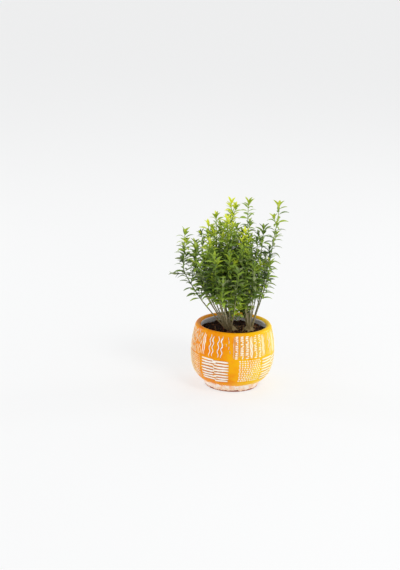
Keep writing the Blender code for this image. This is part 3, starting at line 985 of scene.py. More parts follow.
@dataclass
class Painting:
    """The raised strokes of slip on the pot: an upper band of upright ones, and a lower band of level ones, many of
    them on a darker rim of painted shadow.
    """

    pot: Pot
    upper: tuple[float, float] = (61.5 * MM, 97.8 * MM)
    lower: tuple[float, float] = (22.5 * MM, 60 * MM)
    height: float = 0.45 * MM
    sink: float = 0.08 * MM
    # The darker rim of painted shadow under a stroke: its extra width, its height and its lift.
    shadow_rim_width: float = 0.55 * MM
    shadow_rim_height: float = 0.13 * MM
    shadow_rim_lift: float = 0.03 * MM
    seed: int = 5
    white: bmesh.types.BMesh = field(default_factory=bmesh.new)
    cream: bmesh.types.BMesh = field(default_factory=bmesh.new)
    rims: bmesh.types.BMesh = field(default_factory=bmesh.new)
    rng: random.Random = field(default_factory=random.Random)

    def stroke(
        self, into: bmesh.types.BMesh, points: list[tuple[float, float]], width: float, rim: bool = True
    ) -> None:
        """Lays one stroke on the glaze, over a darker rim round it that is painted shadow of the raised edge.

        Args:
            into: The strokes of one colour.
            points: (angle in radians, height) along its middle.
            width: Its full width.
            rim: Whether it has its rim of painted shadow.
        """
        if len(points) < 5:
            points = eased(points, 4)
        self.bead(into, points, width, self.height, -self.sink)
        # The rim is painted shadow: a darker orange bead that stands for the shade round the raised stroke.
        if rim:
            self.bead(self.rims, points, width + self.shadow_rim_width, self.shadow_rim_height, self.shadow_rim_lift)

    def bead(
        self,
        into: bmesh.types.BMesh,
        points: list[tuple[float, float]],
        width: float,
        height: float,
        inner: float,
    ) -> None:
        """Lays a low bead that narrows at its ends.

        Args:
            into: The strokes of one colour.
            points: (angle in radians, height) along its middle.
            width: Its full width.
            height: How far its middle stands out.
            inner: How far its edge stands out.
        """
        bm = bmesh.new()
        count = len(points) - 1
        for lift in (height, -2 * self.sink):
            grid = bmesh.ops.create_grid(bm, x_segments=count, y_segments=2, size=1)
            for vertex in grid["verts"]:
                i = round((vertex.co.x + 1) / 2 * count)
                side = round(vertex.co.y)
                end = abs(2 * i / count - 1)
                spread = width / 2 * (1 - end**4) ** 0.5 if count > 1 else width / 2
                vertex.co = self.beside(points, i, side * spread, inner if side or end == 1 else lift)
        bmesh.ops.remove_doubles(bm, verts=bm.verts, dist=0.002 * MM)
        bmesh.ops.recalc_face_normals(bm, faces=bm.faces)
        pour(bm, into)

    def beside(self, points: list[tuple[float, float]], i: int, aside: float, lift: float) -> Vector:
        """A point beside a stroke's middle, on the pot."""
        phi, level = points[i]
        before, after = points[max(i - 1, 0)], points[min(i + 1, len(points) - 1)]
        radius = self.pot.outer_radius(level)
        run = Vector(((after[0] - before[0]) * radius, after[1] - before[1]))
        run = run.normalized() if run.length else Vector((1, 0))
        return self.pot.surface(phi - aside * run.y / radius, level + aside * run.x, lift)

    def upright(
        self,
        into: bmesh.types.BMesh,
        degrees: float,
        levels: tuple[float, float],
        width: float,
        swing: float = 0.0,
        wave: float = 9 * MM,
        rim: bool = True,
    ) -> None:
        """Lays an upright stroke, wavy where swing is given.

        Args:
            into: The strokes of one colour.
            degrees: Its angle from the front.
            levels: Its lowest and highest level.
            width: Its width.
            swing: How far it swings aside, in degrees.
            wave: The length of one wave.
            rim: Whether it has its rim of painted shadow.
        """
        low, high = levels
        count = max(3, round((high - low) / (1.7 * MM)))
        start = self.rng.uniform(0, math.tau)
        points = []
        for i in range(count + 1):
            level = low + (high - low) * i / count
            aside = swing * math.sin(start + math.tau * level / wave)
            points.append((math.radians(degrees + aside), level))
        self.stroke(into, points, width, rim)

    def level_stroke(
        self,
        into: bmesh.types.BMesh,
        degrees: tuple[float, float],
        level: float,
        width: float,
        slant: float = 0.0,
        rim: bool = True,
    ) -> None:
        """Lays a level stroke between two angles, slanted where slant is given."""
        start, end = degrees
        arc = math.radians(end - start) * self.pot.belly_radius
        count = max(2, round(arc / (1.6 * MM)))
        points = []
        for i in range(count + 1):
            share = i / count
            sag = slant * (share - 0.5) + 0.25 * MM * math.sin(5 * share + level / MM)
            points.append((math.radians(start + (end - start) * share), level + sag))
        self.stroke(into, points, width, rim)

    def fill(self, stretch: Stretch, levels: tuple[float, float]) -> None:
        """Fills one stretch with its motif."""
        fillings = {
            Motif.ROPE: self.rope,
            Motif.COLUMN: self.column,
            Motif.WAVES: self.waves,
            Motif.LINE: self.line,
            Motif.DROPS: self.drops,
            Motif.LADDER: self.ladder,
            Motif.BLOCK: self.block,
            Motif.NET: self.net,
            Motif.DASHES: self.dashes,
            Motif.BRICKS: self.bricks,
        }
        fillings[stretch.motif](stretch.start, stretch.end, *levels)

    def rope(self, start: float, end: float, low: float, high: float) -> None:
        """Broken wavy cream lines, side by side."""
        count = round((end - start) / 3.5)
        for k in range(count):
            degrees = start + (end - start) * (k + 0.5) / count
            level = low - self.rng.uniform(0, 2) * MM
            while level < high - 3 * MM:
                top = min(level + self.rng.uniform(7, 17) * MM, high)
                self.upright(self.cream, degrees, (level, top), 2.2 * MM, 0.8, 9 * MM)
                level = top + self.rng.uniform(0.9, 2.4) * MM

    def column(self, start: float, end: float, low: float, high: float) -> None:
        """A dense pale upright band."""
        count = max(2, round((end - start) / 2.6))
        for k in range(count):
            degrees = start + (end - start) * (k + 0.5) / count
            top = high - self.rng.uniform(0, 3) * MM
            self.upright(self.white, degrees, (low, top), 2.1 * MM, 0.4, 11 * MM, False)

    def line(self, start: float, end: float, low: float, high: float) -> None:
        """One thin cream line."""
        self.upright(self.cream, (start + end) / 2, (low, high), 1.2 * MM, 0.2, 16 * MM)

    def waves(self, start: float, end: float, low: float, high: float) -> None:
        """Two white wavy lines that nearly touch, thicker towards the top."""
        for degrees in (start + 1.4, end - 1.4):
            bottom = low - self.rng.uniform(-1, 1) * MM
            top = high - self.rng.uniform(0, 3) * MM
            self.upright(self.white, degrees, (bottom, top), 1.9 * MM, 1.0, 12 * MM)
        for side in (0.9, 2.6):
            level = self.rng.uniform(low + 14 * MM, high - 12 * MM)
            self.upright(self.white, end - side, (level, level + 9 * MM), 1.5 * MM, 0.7, 9 * MM)

    def drops(self, start: float, end: float, low: float, high: float) -> None:
        """A few faint dashes and drops."""
        for _ in range(round((end - start) * 0.5)):
            level = self.rng.uniform(low, high - 5 * MM)
            tall = self.rng.uniform(2.4, 6) * MM
            self.upright(self.cream, self.rng.uniform(start, end), (level, level + tall), 1.3 * MM, 0.4)

    def ladder(self, start: float, end: float, low: float, high: float) -> None:
        """A column of short level rungs, some of them broken, tied on both sides by thin upright lines."""
        count = round((high - low) / (2.7 * MM))
        for k in range(count):
            level = low + (high - low) * (k + 0.5) / count
            left, right = start + self.rng.uniform(0, 1.0), end - self.rng.uniform(0, 1.0)
            if self.rng.random() < 0.25:
                left = (left + right) / 2
            self.level_stroke(self.white, (left, right), level, self.rng.uniform(1.8, 2.2) * MM, 0.6 * MM, False)
        for side in (start + 0.4, end - 0.4):
            self.upright(self.cream, side, (low, high), 0.8 * MM, 0.25, 9 * MM)

    def block(self, start: float, end: float, low: float, high: float) -> None:
        """A dense pale block of rungs and upright lines, with small gaps."""
        columns = max(2, round((end - start) / 4.4))
        wide = (end - start) / columns
        rows = round((high - low) / (3.1 * MM))
        for k in range(columns):
            left = start + k * wide
            for i in range(rows):
                level = low + (high - low) * (i + 0.5) / rows + self.rng.uniform(-0.5, 0.5) * MM
                width = self.rng.uniform(2.1, 3.0) * MM
                self.level_stroke(self.white, (left, left + wide - 0.7), level, width, 0.8 * MM, False)
            self.upright(self.white, left + 0.5, (low, high), 1.4 * MM, 0.4, 7 * MM)

    def net(self, start: float, end: float, low: float, high: float) -> None:
        """A net of small round cells."""
        count = round((end - start) / 3.6)
        for k in range(count):
            degrees = start + (end - start) * (k + 0.5) / count
            self.upright(self.cream, degrees, (low, high), 1.4 * MM, 0.5, 6.4 * MM)
        rows = round((high - low) / (3.2 * MM))
        for k in range(rows):
            level = low + (high - low) * (k + 0.5) / rows
            self.level_stroke(self.cream, (start, end), level, 1.4 * MM)

    def dashes(self, start: float, end: float, low: float, high: float) -> None:
        """Rows of long thick white dashes that break at a place of their own and go on half a row lower."""
        rows = 8
        pitch = (high - low) / rows
        for k in range(rows):
            level = low + pitch * (k + 0.5)
            middle = start + (end - start) * self.rng.uniform(0.46, 0.6)
            for left, right, drop in (
                (start + self.rng.uniform(0, 1.5), middle + self.rng.uniform(0.5, 3.0), 0.0),
                (middle - self.rng.uniform(0.0, 1.5), end - self.rng.uniform(0, 1.5), 0.5),
            ):
                place = level + self.rng.uniform(-0.3, 0.3) * MM - drop * pitch
                width = pitch - self.rng.uniform(0.6, 1.1) * MM
                self.level_stroke(self.white, (left, right), place, width, self.rng.uniform(0.1, 1.0) * MM)

    def bricks(self, start: float, end: float, low: float, high: float) -> None:
        """Rows of small short bricks, with joints that shift from row to row."""
        rows = 11
        for k in range(rows):
            level = low + (high - low) * (k + 0.5) / rows
            at = start + (0.8 if k % 2 else 0) + self.rng.uniform(0, 0.5)
            while at < end - 1.2:
                run = self.rng.uniform(2.4, 3.4)
                bed = self.white if at < start + 9 or self.rng.random() < 0.85 else self.cream
                points = [(math.radians(at + run * t / 4), level) for t in range(5)]
                self.bead(bed, points, self.rng.uniform(2.3, 2.6) * MM, self.height, -self.sink)
                at += run + 0.85

    def build(self) -> None:
        """Builds and dresses the strokes."""
        self.rng.seed(self.seed)
        for stretch in UPPER_BAND:
            self.fill(stretch, self.upper)
        for stretch in LOWER_BAND:
            self.fill(stretch, self.lower)
        white = SlipFinish("white_slip", srgb("fffaf2"), srgb("fff3da"), srgb("fff4c8"))
        cream = SlipFinish("cream_slip", srgb("ffefcc"), srgb("fdda96"), srgb("fde994"))
        # The darker oranges below are painted shadow round the strokes.
        rims = SlipFinish("slip_rims", srgb("cf6c08"), srgb("b0560c"), srgb("dc9e0c"))
        piece("pot_white_strokes", self.white, white.material(), Slot.GLAZE, (), 60.0)
        piece("pot_cream_strokes", self.cream, cream.material(), Slot.GLAZE, (), 60.0)
        piece("pot_stroke_rims", self.rims, rims.material(), Slot.GLAZE, (), 60.0)


# The compost


@dataclass
class Compost:
    """The compost in the pot, with its crumbs, bits of straw and a pale stick."""

    pot: Pot
    relief: float = 2.6 * MM
    lump_size: tuple[float, float] = (33 * MM, 27 * MM)
    small_lump_size: float = 16 * MM
    small_lump_share: float = 0.6
    level_patch: float = 15 * MM
    level_fade: float = 8 * MM
    clearance: float = 0.3 * MM
    segments: int = 128
    rings: int = 44
    crumbs: int = 1500
    clods: int = 130
    straws: int = 46
    seed: int = 3

    def height_at(self, x: float, y: float) -> float:
        """The compost's surface: level where the crowns stand, and dipping in hollows elsewhere."""
        near = min((Vector((x, y, 0)) - centre).length for centre in CROWNS.values())
        lumpy = min(max((near - self.level_patch) / self.level_fade, 0), 1)
        large = math.sin(math.tau * x / self.lump_size[0]) * math.cos(math.tau * y / self.lump_size[1])
        small = math.sin(math.tau * (x - y) / self.small_lump_size)
        waves = (large + self.small_lump_share * small) / (1 + self.small_lump_share)
        return SOIL_LEVEL - self.relief * lumpy * (1 + waves) / 2

    @property
    def edge(self) -> float:
        """The surface's outer radius."""
        return self.pot.inner_radius(SOIL_LEVEL) - self.clearance

    def ground(self) -> bmesh.types.BMesh:
        """The body of the compost."""
        low = self.pot.cavity_floor + self.clearance
        profile = [(0.0, low), (self.pot.cavity_floor_radius - 1 * MM, low)]
        for level in (20, 35, 52, 67, 82):
            radius = self.pot.inner_radius(level * MM) - 2 * self.clearance
            profile.append((radius, level * MM))
        for k in range(self.rings, 0, -1):
            profile.append((self.edge * k / self.rings, SOIL_LEVEL))
        profile.append((0.0, SOIL_LEVEL))
        bm = turned(profile, self.segments)
        for vertex in bm.verts:
            if vertex.co.z > SOIL_LEVEL - 0.1 * MM:
                x, y = vertex.co.xy
                fine = noise.noise(vertex.co / (3.1 * MM)) * 0.8 * MM
                fine += noise.noise(vertex.co / (1.3 * MM)) * 0.35 * MM
                rim = vertex.co.xy.length / self.edge
                drop = 0.9 * MM if rim > 0.995 else 0.0
                vertex.co.z = self.height_at(x, y) + fine - 0.3 * MM - drop
        return bm

    def spots(self, rng: random.Random, count: int, margin: float) -> Iterator[Vector]:
        """Places on the surface, spread evenly."""
        for _ in range(count):
            radius = (self.edge - margin) * math.sqrt(rng.random())
            angle = rng.uniform(0, math.tau)
            x, y = radius * math.cos(angle), radius * math.sin(angle)
            yield Vector((x, y, self.height_at(x, y)))

    def crumb_stamps(self, rng: random.Random) -> list[Stamp]:
        """A few rough crumbs of unit size."""
        stamps = []
        for k in range(6):
            bm = bmesh.new()
            bmesh.ops.create_icosphere(bm, subdivisions=1 if k < 4 else 2, radius=1)
            for vertex in bm.verts:
                vertex.co *= 1 + 0.38 * noise.noise(vertex.co * 1.3 + Vector((7.3 * k, 0, 0)))
                vertex.co.z *= rng.uniform(0.6, 0.85)
            stamps.append(Stamp(bm))
        return stamps

    def build(self) -> None:
        """Builds and dresses the compost and all that lies on it."""
        rng = random.Random(self.seed)
        dark = EarthFinish("damp_compost", srgb("1c0f09"), srgb("331b10"))
        piece("compost_bed", self.ground(), dark.material(), Slot.COMPOST, ("soil",), 50.0)
        stamps = self.crumb_stamps(rng)
        beds = {name: bmesh.new() for name in ("dark", "brown")}
        sizes = [rng.uniform(0.45, 1.05) for _ in range(self.crumbs)]
        sizes += [rng.uniform(1.2, 2.1) for _ in range(self.clods)]
        for size, spot in zip(sizes, self.spots(rng, len(sizes), 1.2 * MM)):
            stamp = stamps[rng.randrange(4)] if size < 1.1 else stamps[4 + rng.randrange(2)]
            spin = Matrix.Rotation(rng.uniform(0, math.tau), 4, "Z")
            tilt = Matrix.Rotation(rng.uniform(-0.7, 0.7), 4, "X")
            place = Matrix.Translation(spot) @ spin @ tilt @ Matrix.Scale(size * MM, 4)
            stamp.press(beds["brown" if rng.random() < 0.3 else "dark"], place)
        crumb = EarthFinish("dark_crumb", srgb("1a0e08"), srgb("351d12"), 500.0)
        bark = EarthFinish("bark_crumb", srgb("5a3322"), srgb("935c3e"), 500.0)
        piece("compost_dark_crumbs", beds["dark"], crumb.material(), Slot.COMPOST, (), 30.0)
        piece("compost_bark_crumbs", beds["brown"], bark.material(), Slot.COMPOST, (), 30.0)
        self.straw(rng)

    def straw(self, rng: random.Random) -> None:
        """Thin dry roots and straws that lie about the crowns, and one pale upright stick."""
        bits = bmesh.new()
        for k in range(self.straws):
            centre = CROWNS["right" if k % 2 else "left"]
            angle, reach = rng.uniform(0, math.tau), rng.uniform(8, 24) * MM
            x, y = centre.x + reach * math.cos(angle), centre.y + reach * math.sin(angle)
            root = Vector((x, y, self.height_at(x, y) + 0.5 * MM))
            if root.xy.length > self.edge - 5 * MM:
                continue
            turn = rng.uniform(0, math.tau)
            direction = Vector((math.cos(turn), math.sin(turn), rng.uniform(-0.02, 0.22)))
            length = rng.uniform(4, 11) * MM
            line = BentLine(root, direction.normalized(), length, rng.uniform(-0.5, 0.1))
            thick = rng.uniform(0.22, 0.42) * MM
            stations = [(length * t, thick * (1 - 0.4 * t)) for t in (0, 0.3, 0.6, 1)]
            pour(limb(line, stations, 5), bits)
        root = Vector((15 * MM, -7 * MM, SOIL_LEVEL - 3 * MM))
        line = BentLine(root, Vector((0.08, -0.05, 1)).normalized(), 10 * MM, 0)
        pour(limb(line, [(0, 0.75 * MM), (5 * MM, 0.7 * MM), (10 * MM, 0.6 * MM)], 8), bits)
        straw = EarthFinish("dry_straw", srgb("b69b6a"), srgb("8a6c44"), 900.0, (0.6, 0.8))
        piece("compost_straws", bits, straw.material(), Slot.COMPOST, (), 60.0)


# The wood


@dataclass
class CrownWood:
    """The two woody crowns: each has its heart, its root flares and a stub for each of its shoots."""

    radius: float = 7.5 * MM
    height: float = 6.5 * MM
    lumps: float = 0.12
    stub_radius: float = 1.2 * MM
    stub_flare: float = 1.4
    flare_radii: tuple[float, float] = (3.0 * MM, 1.5 * MM)
    flare_start: float = 3 * MM
    flare_dip: float = 0.35
    flare_bend: float = -0.1
    voxel: float = 0.5 * MM
    flares: dict = field(
        default_factory=lambda: {
            "left": ((-60, 13), (35, 12), (160, 10), (-20, 16)),
            "right": ((-100, 12), (10, 9), (120, 9), (-45, 11)),
        }
    )

    def heart(self, centre: Vector) -> bmesh.types.BMesh:
        """The crown's lumpy ball."""
        bm = bmesh.new()
        bmesh.ops.create_icosphere(bm, subdivisions=4, radius=1)
        for vertex in bm.verts:
            wide = self.radius * (1 + self.lumps * math.sin(5 * vertex.co.x + 3 * vertex.co.y))
            vertex.co = Vector((vertex.co.x * wide, vertex.co.y * wide, vertex.co.z * self.height))
            vertex.co += centre + UP * SOIL_LEVEL
        return bm

    def side(self, name: str, lines: dict[Shoot, ShootLine]) -> bmesh.types.BMesh:
        """All of one crown's shapes, still overlapping."""
        centre = CROWNS[name]
        bm = self.heart(centre)
        for degrees, reach in self.flares[name]:
            turn = math.radians(degrees)
            out = Vector((math.cos(turn), math.sin(turn), 0))
            root = centre + UP * (SOIL_LEVEL + self.flare_start)
            direction = (out - UP * self.flare_dip).normalized()
            line = BentLine(root, direction, reach * MM, self.flare_bend)
            wide, narrow = self.flare_radii
            shares = (0, 0.25, 0.5, 0.75, 1)
            stations = [(reach * MM * t, wide + (narrow - wide) * t) for t in shares]
            pour(limb(line, stations, 12), bm)
        for shoot, line in lines.items():
            if shoot.crown == name:
                end = line.rise_to(STUB_RISE) + 0.6 * MM
                radii = (self.stub_radius * self.stub_flare, self.stub_radius)
                shares = [i / 7 for i in range(8)]
                stations = [(end * t, radii[0] + (radii[1] - radii[0]) * t) for t in shares]
                pour(limb(line, stations, 12), bm)
        return bm

    def melted(self, bm: bmesh.types.BMesh) -> bmesh.types.BMesh:
        """Melts overlapping shapes into one skin, by a voxel remesh."""
        mesh = bpy.data.meshes.new("crown_shapes")
        bm.to_mesh(mesh)
        bm.free()
        host = bpy.data.objects.new("crown_shapes", mesh)
        bpy.context.scene.collection.objects.link(host)
        remesh = host.modifiers.new("melt", "REMESH")
        remesh.mode, remesh.voxel_size = "VOXEL", self.voxel
        bpy.context.view_layer.update()
        graph = bpy.context.evaluated_depsgraph_get()
        skin = bmesh.new()
        skin.from_mesh(host.evaluated_get(graph).to_mesh())
        bpy.data.objects.remove(host)
        bpy.data.meshes.remove(mesh)
        return skin

    def build(self, lines: dict[Shoot, ShootLine]) -> None:
        """Builds and dresses both crowns."""
        finish = BarkFinish(
            "crown_bark",
            srgb("b29d70"),
            srgb("b4a980"),
            srgb("6e6344"),
            (SOIL_LEVEL + 4 * MM, SOIL_LEVEL + 16 * MM),
        )
        material = finish.material()
        for name in CROWNS:
            skin = self.melted(self.side(name, lines))
            bmesh.ops.smooth_vert(skin, verts=skin.verts, factor=0.5, use_axis_x=True, use_axis_y=True, use_axis_z=True)
            below = [v for v in skin.verts if v.co.z < SOIL_LEVEL + 0.05 * MM]
            for vertex in below:
                vertex.co.z = max(vertex.co.z, SOIL_LEVEL - 2.4 * MM)
            roughen(skin, 0.55 * MM, Vector((1.5, 1.5, 4.5)) * MM)
            roughen(skin, 0.25 * MM, Vector((0.8, 0.8, 1.6)) * MM)
            piece(f"crown_{name}_wood", skin, material, Slot.CROWN, (f"crown_{name}",), 60.0)


@dataclass
class Stems:
    """The bare stems, from the stubs on the crowns to where the leaves begin."""

    stub_radius: float = 1.05 * MM
    stem_radius: float = 0.85 * MM
    ring_step: float = 1.3 * MM
    scar_step: float = 6.5 * MM
    scar_height: float = 0.13
    sides: int = 10

    def build(self, lines: dict[Shoot, ShootLine]) -> None:
        """Builds and dresses all the stems as one piece."""
        wood = bmesh.new()
        for shoot, line in lines.items():
            start = line.rise_to(STUB_RISE) - 0.8 * MM
            end = line.rise_to(shoot.bare * MM) + 1 * MM
            count = max(2, round((end - start) / self.ring_step))
            stations = []
            for k in range(count + 1):
                s = start + (end - start) * k / count
                share = k / count
                radius = self.stub_radius + (self.stem_radius - self.stub_radius) * share
                scar = max(0.0, math.cos(math.tau * s / self.scar_step)) ** 6
                stations.append((s, radius * (1 + self.scar_height * scar)))
            pour(limb(line, stations, self.sides), wood)
        roughen(wood, 0.3 * MM, Vector((0.9, 0.9, 3.2)) * MM)
        finish = BarkFinish(
            "stem_bark",
            srgb("bdb08e"),
            srgb("a2a872"),
            srgb("736b4c"),
            (SOIL_LEVEL + 16 * MM, SOIL_LEVEL + 60 * MM),
        )
        names = tuple("stem_" + shoot.name for shoot in SHOOTS)
        piece("bare_stems", wood, finish.material(), Slot.STEM, names, 60.0)


# The leaves


class LeafForm(Enum):
    """How a leaf is bent: its arch, the droop of its tip, its fold and its twist."""

    YOUNG = (0.06, 0.04, 0.5, 0.1)
    LEVEL = (0.14, 0.14, -0.35, -0.15)
    ARCHED = (0.17, 0.2, -0.3, 0.15)
    CURLED = (0.17, 0.2, 0.35, 0.1)
    FLAT = (0.10, 0.10, 0.25, -0.2)


@dataclass
class LeafShapes:
    """The leaf's shape, of unit length and unit width, made once for each form."""

    rows: tuple[float, ...] = (0.0, 0.09, 0.24, 0.42, 0.6, 0.78, 0.92, 1.0)
    thickness: float = 0.028
    stalk: float = 0.13
    slimness: float = 0.34
    stamps: dict[LeafForm, Stamp] = field(default_factory=dict)

    def half_width(self, x: float) -> float:
        """Half the blade's width at a share of its length: a narrow oval with a short stalk."""
        if x < 0.05:
            return self.stalk / 2
        return max(0.5 * math.sin(math.pi * ((x - 0.03) / 0.97) ** 0.94) ** 0.8, 0.0)

    def surface(self, form: LeafForm, x: float, side: float) -> Vector:
        """A point on the leaf's upper face. side runs from -1 to 1 across it."""
        arch, droop, fold, twist = form.value
        y = side * self.half_width(x)
        z = arch * 4 * x * (1 - x) - droop * x**3
        z += self.slimness * (fold * abs(side) * self.half_width(x) + twist * x * y)
        return Vector((x, y, z))

    def stamp(self, form: LeafForm) -> Stamp:
        """The leaf of one form, as a stamp."""
        if form not in self.stamps:
            bm = bmesh.new()
            count = len(self.rows) - 1
            for under in (False, True):
                grid = bmesh.ops.create_grid(bm, x_segments=count, y_segments=2, size=1)
                for vertex in grid["verts"]:
                    x = self.rows[round((vertex.co.x + 1) / 2 * count)]
                    side = float(round(vertex.co.y))
                    vertex.co = self.surface(form, x, side)
                    if under and not side and 0 < x < 1:
                        vertex.co.z -= self.thickness
            bmesh.ops.remove_doubles(bm, verts=bm.verts, dist=0.0005)
            bmesh.ops.recalc_face_normals(bm, faces=bm.faces)
            self.stamps[form] = Stamp(bm)
        return self.stamps[form]


class Room:
    """What is already in place, kept in cells, so that a new twig or leaf can be kept clear of it."""

    CELL = 14 * MM

    def __init__(self) -> None:
        """Starts empty."""
        self.cells: dict[tuple[int, int, int], list] = {}

    def spread(self, low: list[float], high: list[float]) -> Iterator[tuple[int, int, int]]:
        """The cells that a box reaches."""
        ranges = [range(math.floor(low[i] / self.CELL), math.floor(high[i] / self.CELL) + 1) for i in range(3)]
        for x in ranges[0]:
            for y in ranges[1]:
                for z in ranges[2]:
                    yield x, y, z

    def add(self, shape: tuple[list, list], key: str) -> None:
        """Keeps a solid, under the key of the twig or joint that it belongs to."""
        low, high = limits(shape[0])
        kept = (low, high, BVHTree.FromPolygons(*shape), key)
        for cell in self.spread(low, high):
            self.cells.setdefault(cell, []).append(kept)

    def clear(self, shape: tuple[list, list], own: set[str]) -> bool:
        """Whether a solid touches nothing but what has one of its own keys."""
        low, high = limits(shape[0])
        tree, seen = None, set()
        for cell in self.spread(low, high):
            for kept in self.cells.get(cell, ()):
                other_low, other_high, other, key = kept
                if id(kept) in seen or key in own:
                    continue
                seen.add(id(kept))
                if any(low[i] > other_high[i] or high[i] < other_low[i] for i in range(3)):
                    continue
                tree = tree or BVHTree.FromPolygons(*shape)
                if tree.overlap(other):
                    return False
        return True


def limits(vertices: list[Vector]) -> tuple[list[float], list[float]]:
    """The lowest and highest corner of some points."""
    low = [min(v[i] for v in vertices) for i in range(3)]
    return low, [max(v[i] for v in vertices) for i in range(3)]


def blade(root: Vector, along: Vector, face: Vector, length: float, width: float) -> tuple[list, list]:
    """A rough leaf of six triangles, to test whether a leaf has room."""
    across = along.cross(face).normalized()
    middle = root + along * length * 0.5 + face * length * 0.1
    vertices = [
        root,
        middle + across * width / 2,
        root + along * length,
        middle - across * width / 2,
        middle - face * 0.4 * MM,
    ]
    faces = [(0, 3, 1), (1, 3, 2), (0, 1, 4), (1, 2, 4), (2, 3, 4), (3, 0, 4)]
    return vertices, faces


def rod(line: Line, start: float, end: float, radius: float) -> tuple[list, list]:
    """A rough three-sided twig, to test leaves against."""
    vertices, faces = [], []
    count = max(1, round((end - start) / (12 * MM)))
    for k in range(count + 1):
        point, direction = line.at(start + (end - start) * k / count)
        vertices += [point + square_to(direction, i * math.tau / 3) * radius for i in range(3)]
    for k in range(count):
        for i in range(3):
            a, b = 3 * k + i, 3 * k + (i + 1) % 3
            faces += [(a, b, b + 3), (a, b + 3, a + 3)]
    return vertices, faces


@dataclass
class Twig:
    """One leafy twig: a shoot's leader, or a side twig.

    Attributes:
        key: Its own name.
        line: Its centre line.
        foot: Where its wood begins along the line.
        start: Where its leaves begin along the line.
        radii: Its radius at the start and at the tip.
        step: The distance between its leaf pairs.
        size: Its leaves' size against a leader's.
        turn: The angle at which its first pair stands.
        age: Where its foot stands in its shoot, 0 low down and 1 at the top.
        tone: How far its leaves' colours are shifted towards the darker ones.
        shoot: The shoot that it belongs to.
    """

    key: str
    line: Line
    foot: float
    start: float
    radii: tuple[float, float]
    step: float
    size: float
    turn: float
    age: float
    tone: float
    shoot: Shoot

    def radius(self, s: float) -> float:
        """The twig's radius at a length."""
        share = min(max((s - self.start) / (self.line.length - self.start), 0), 1)
        return self.radii[0] + (self.radii[1] - self.radii[0]) * share


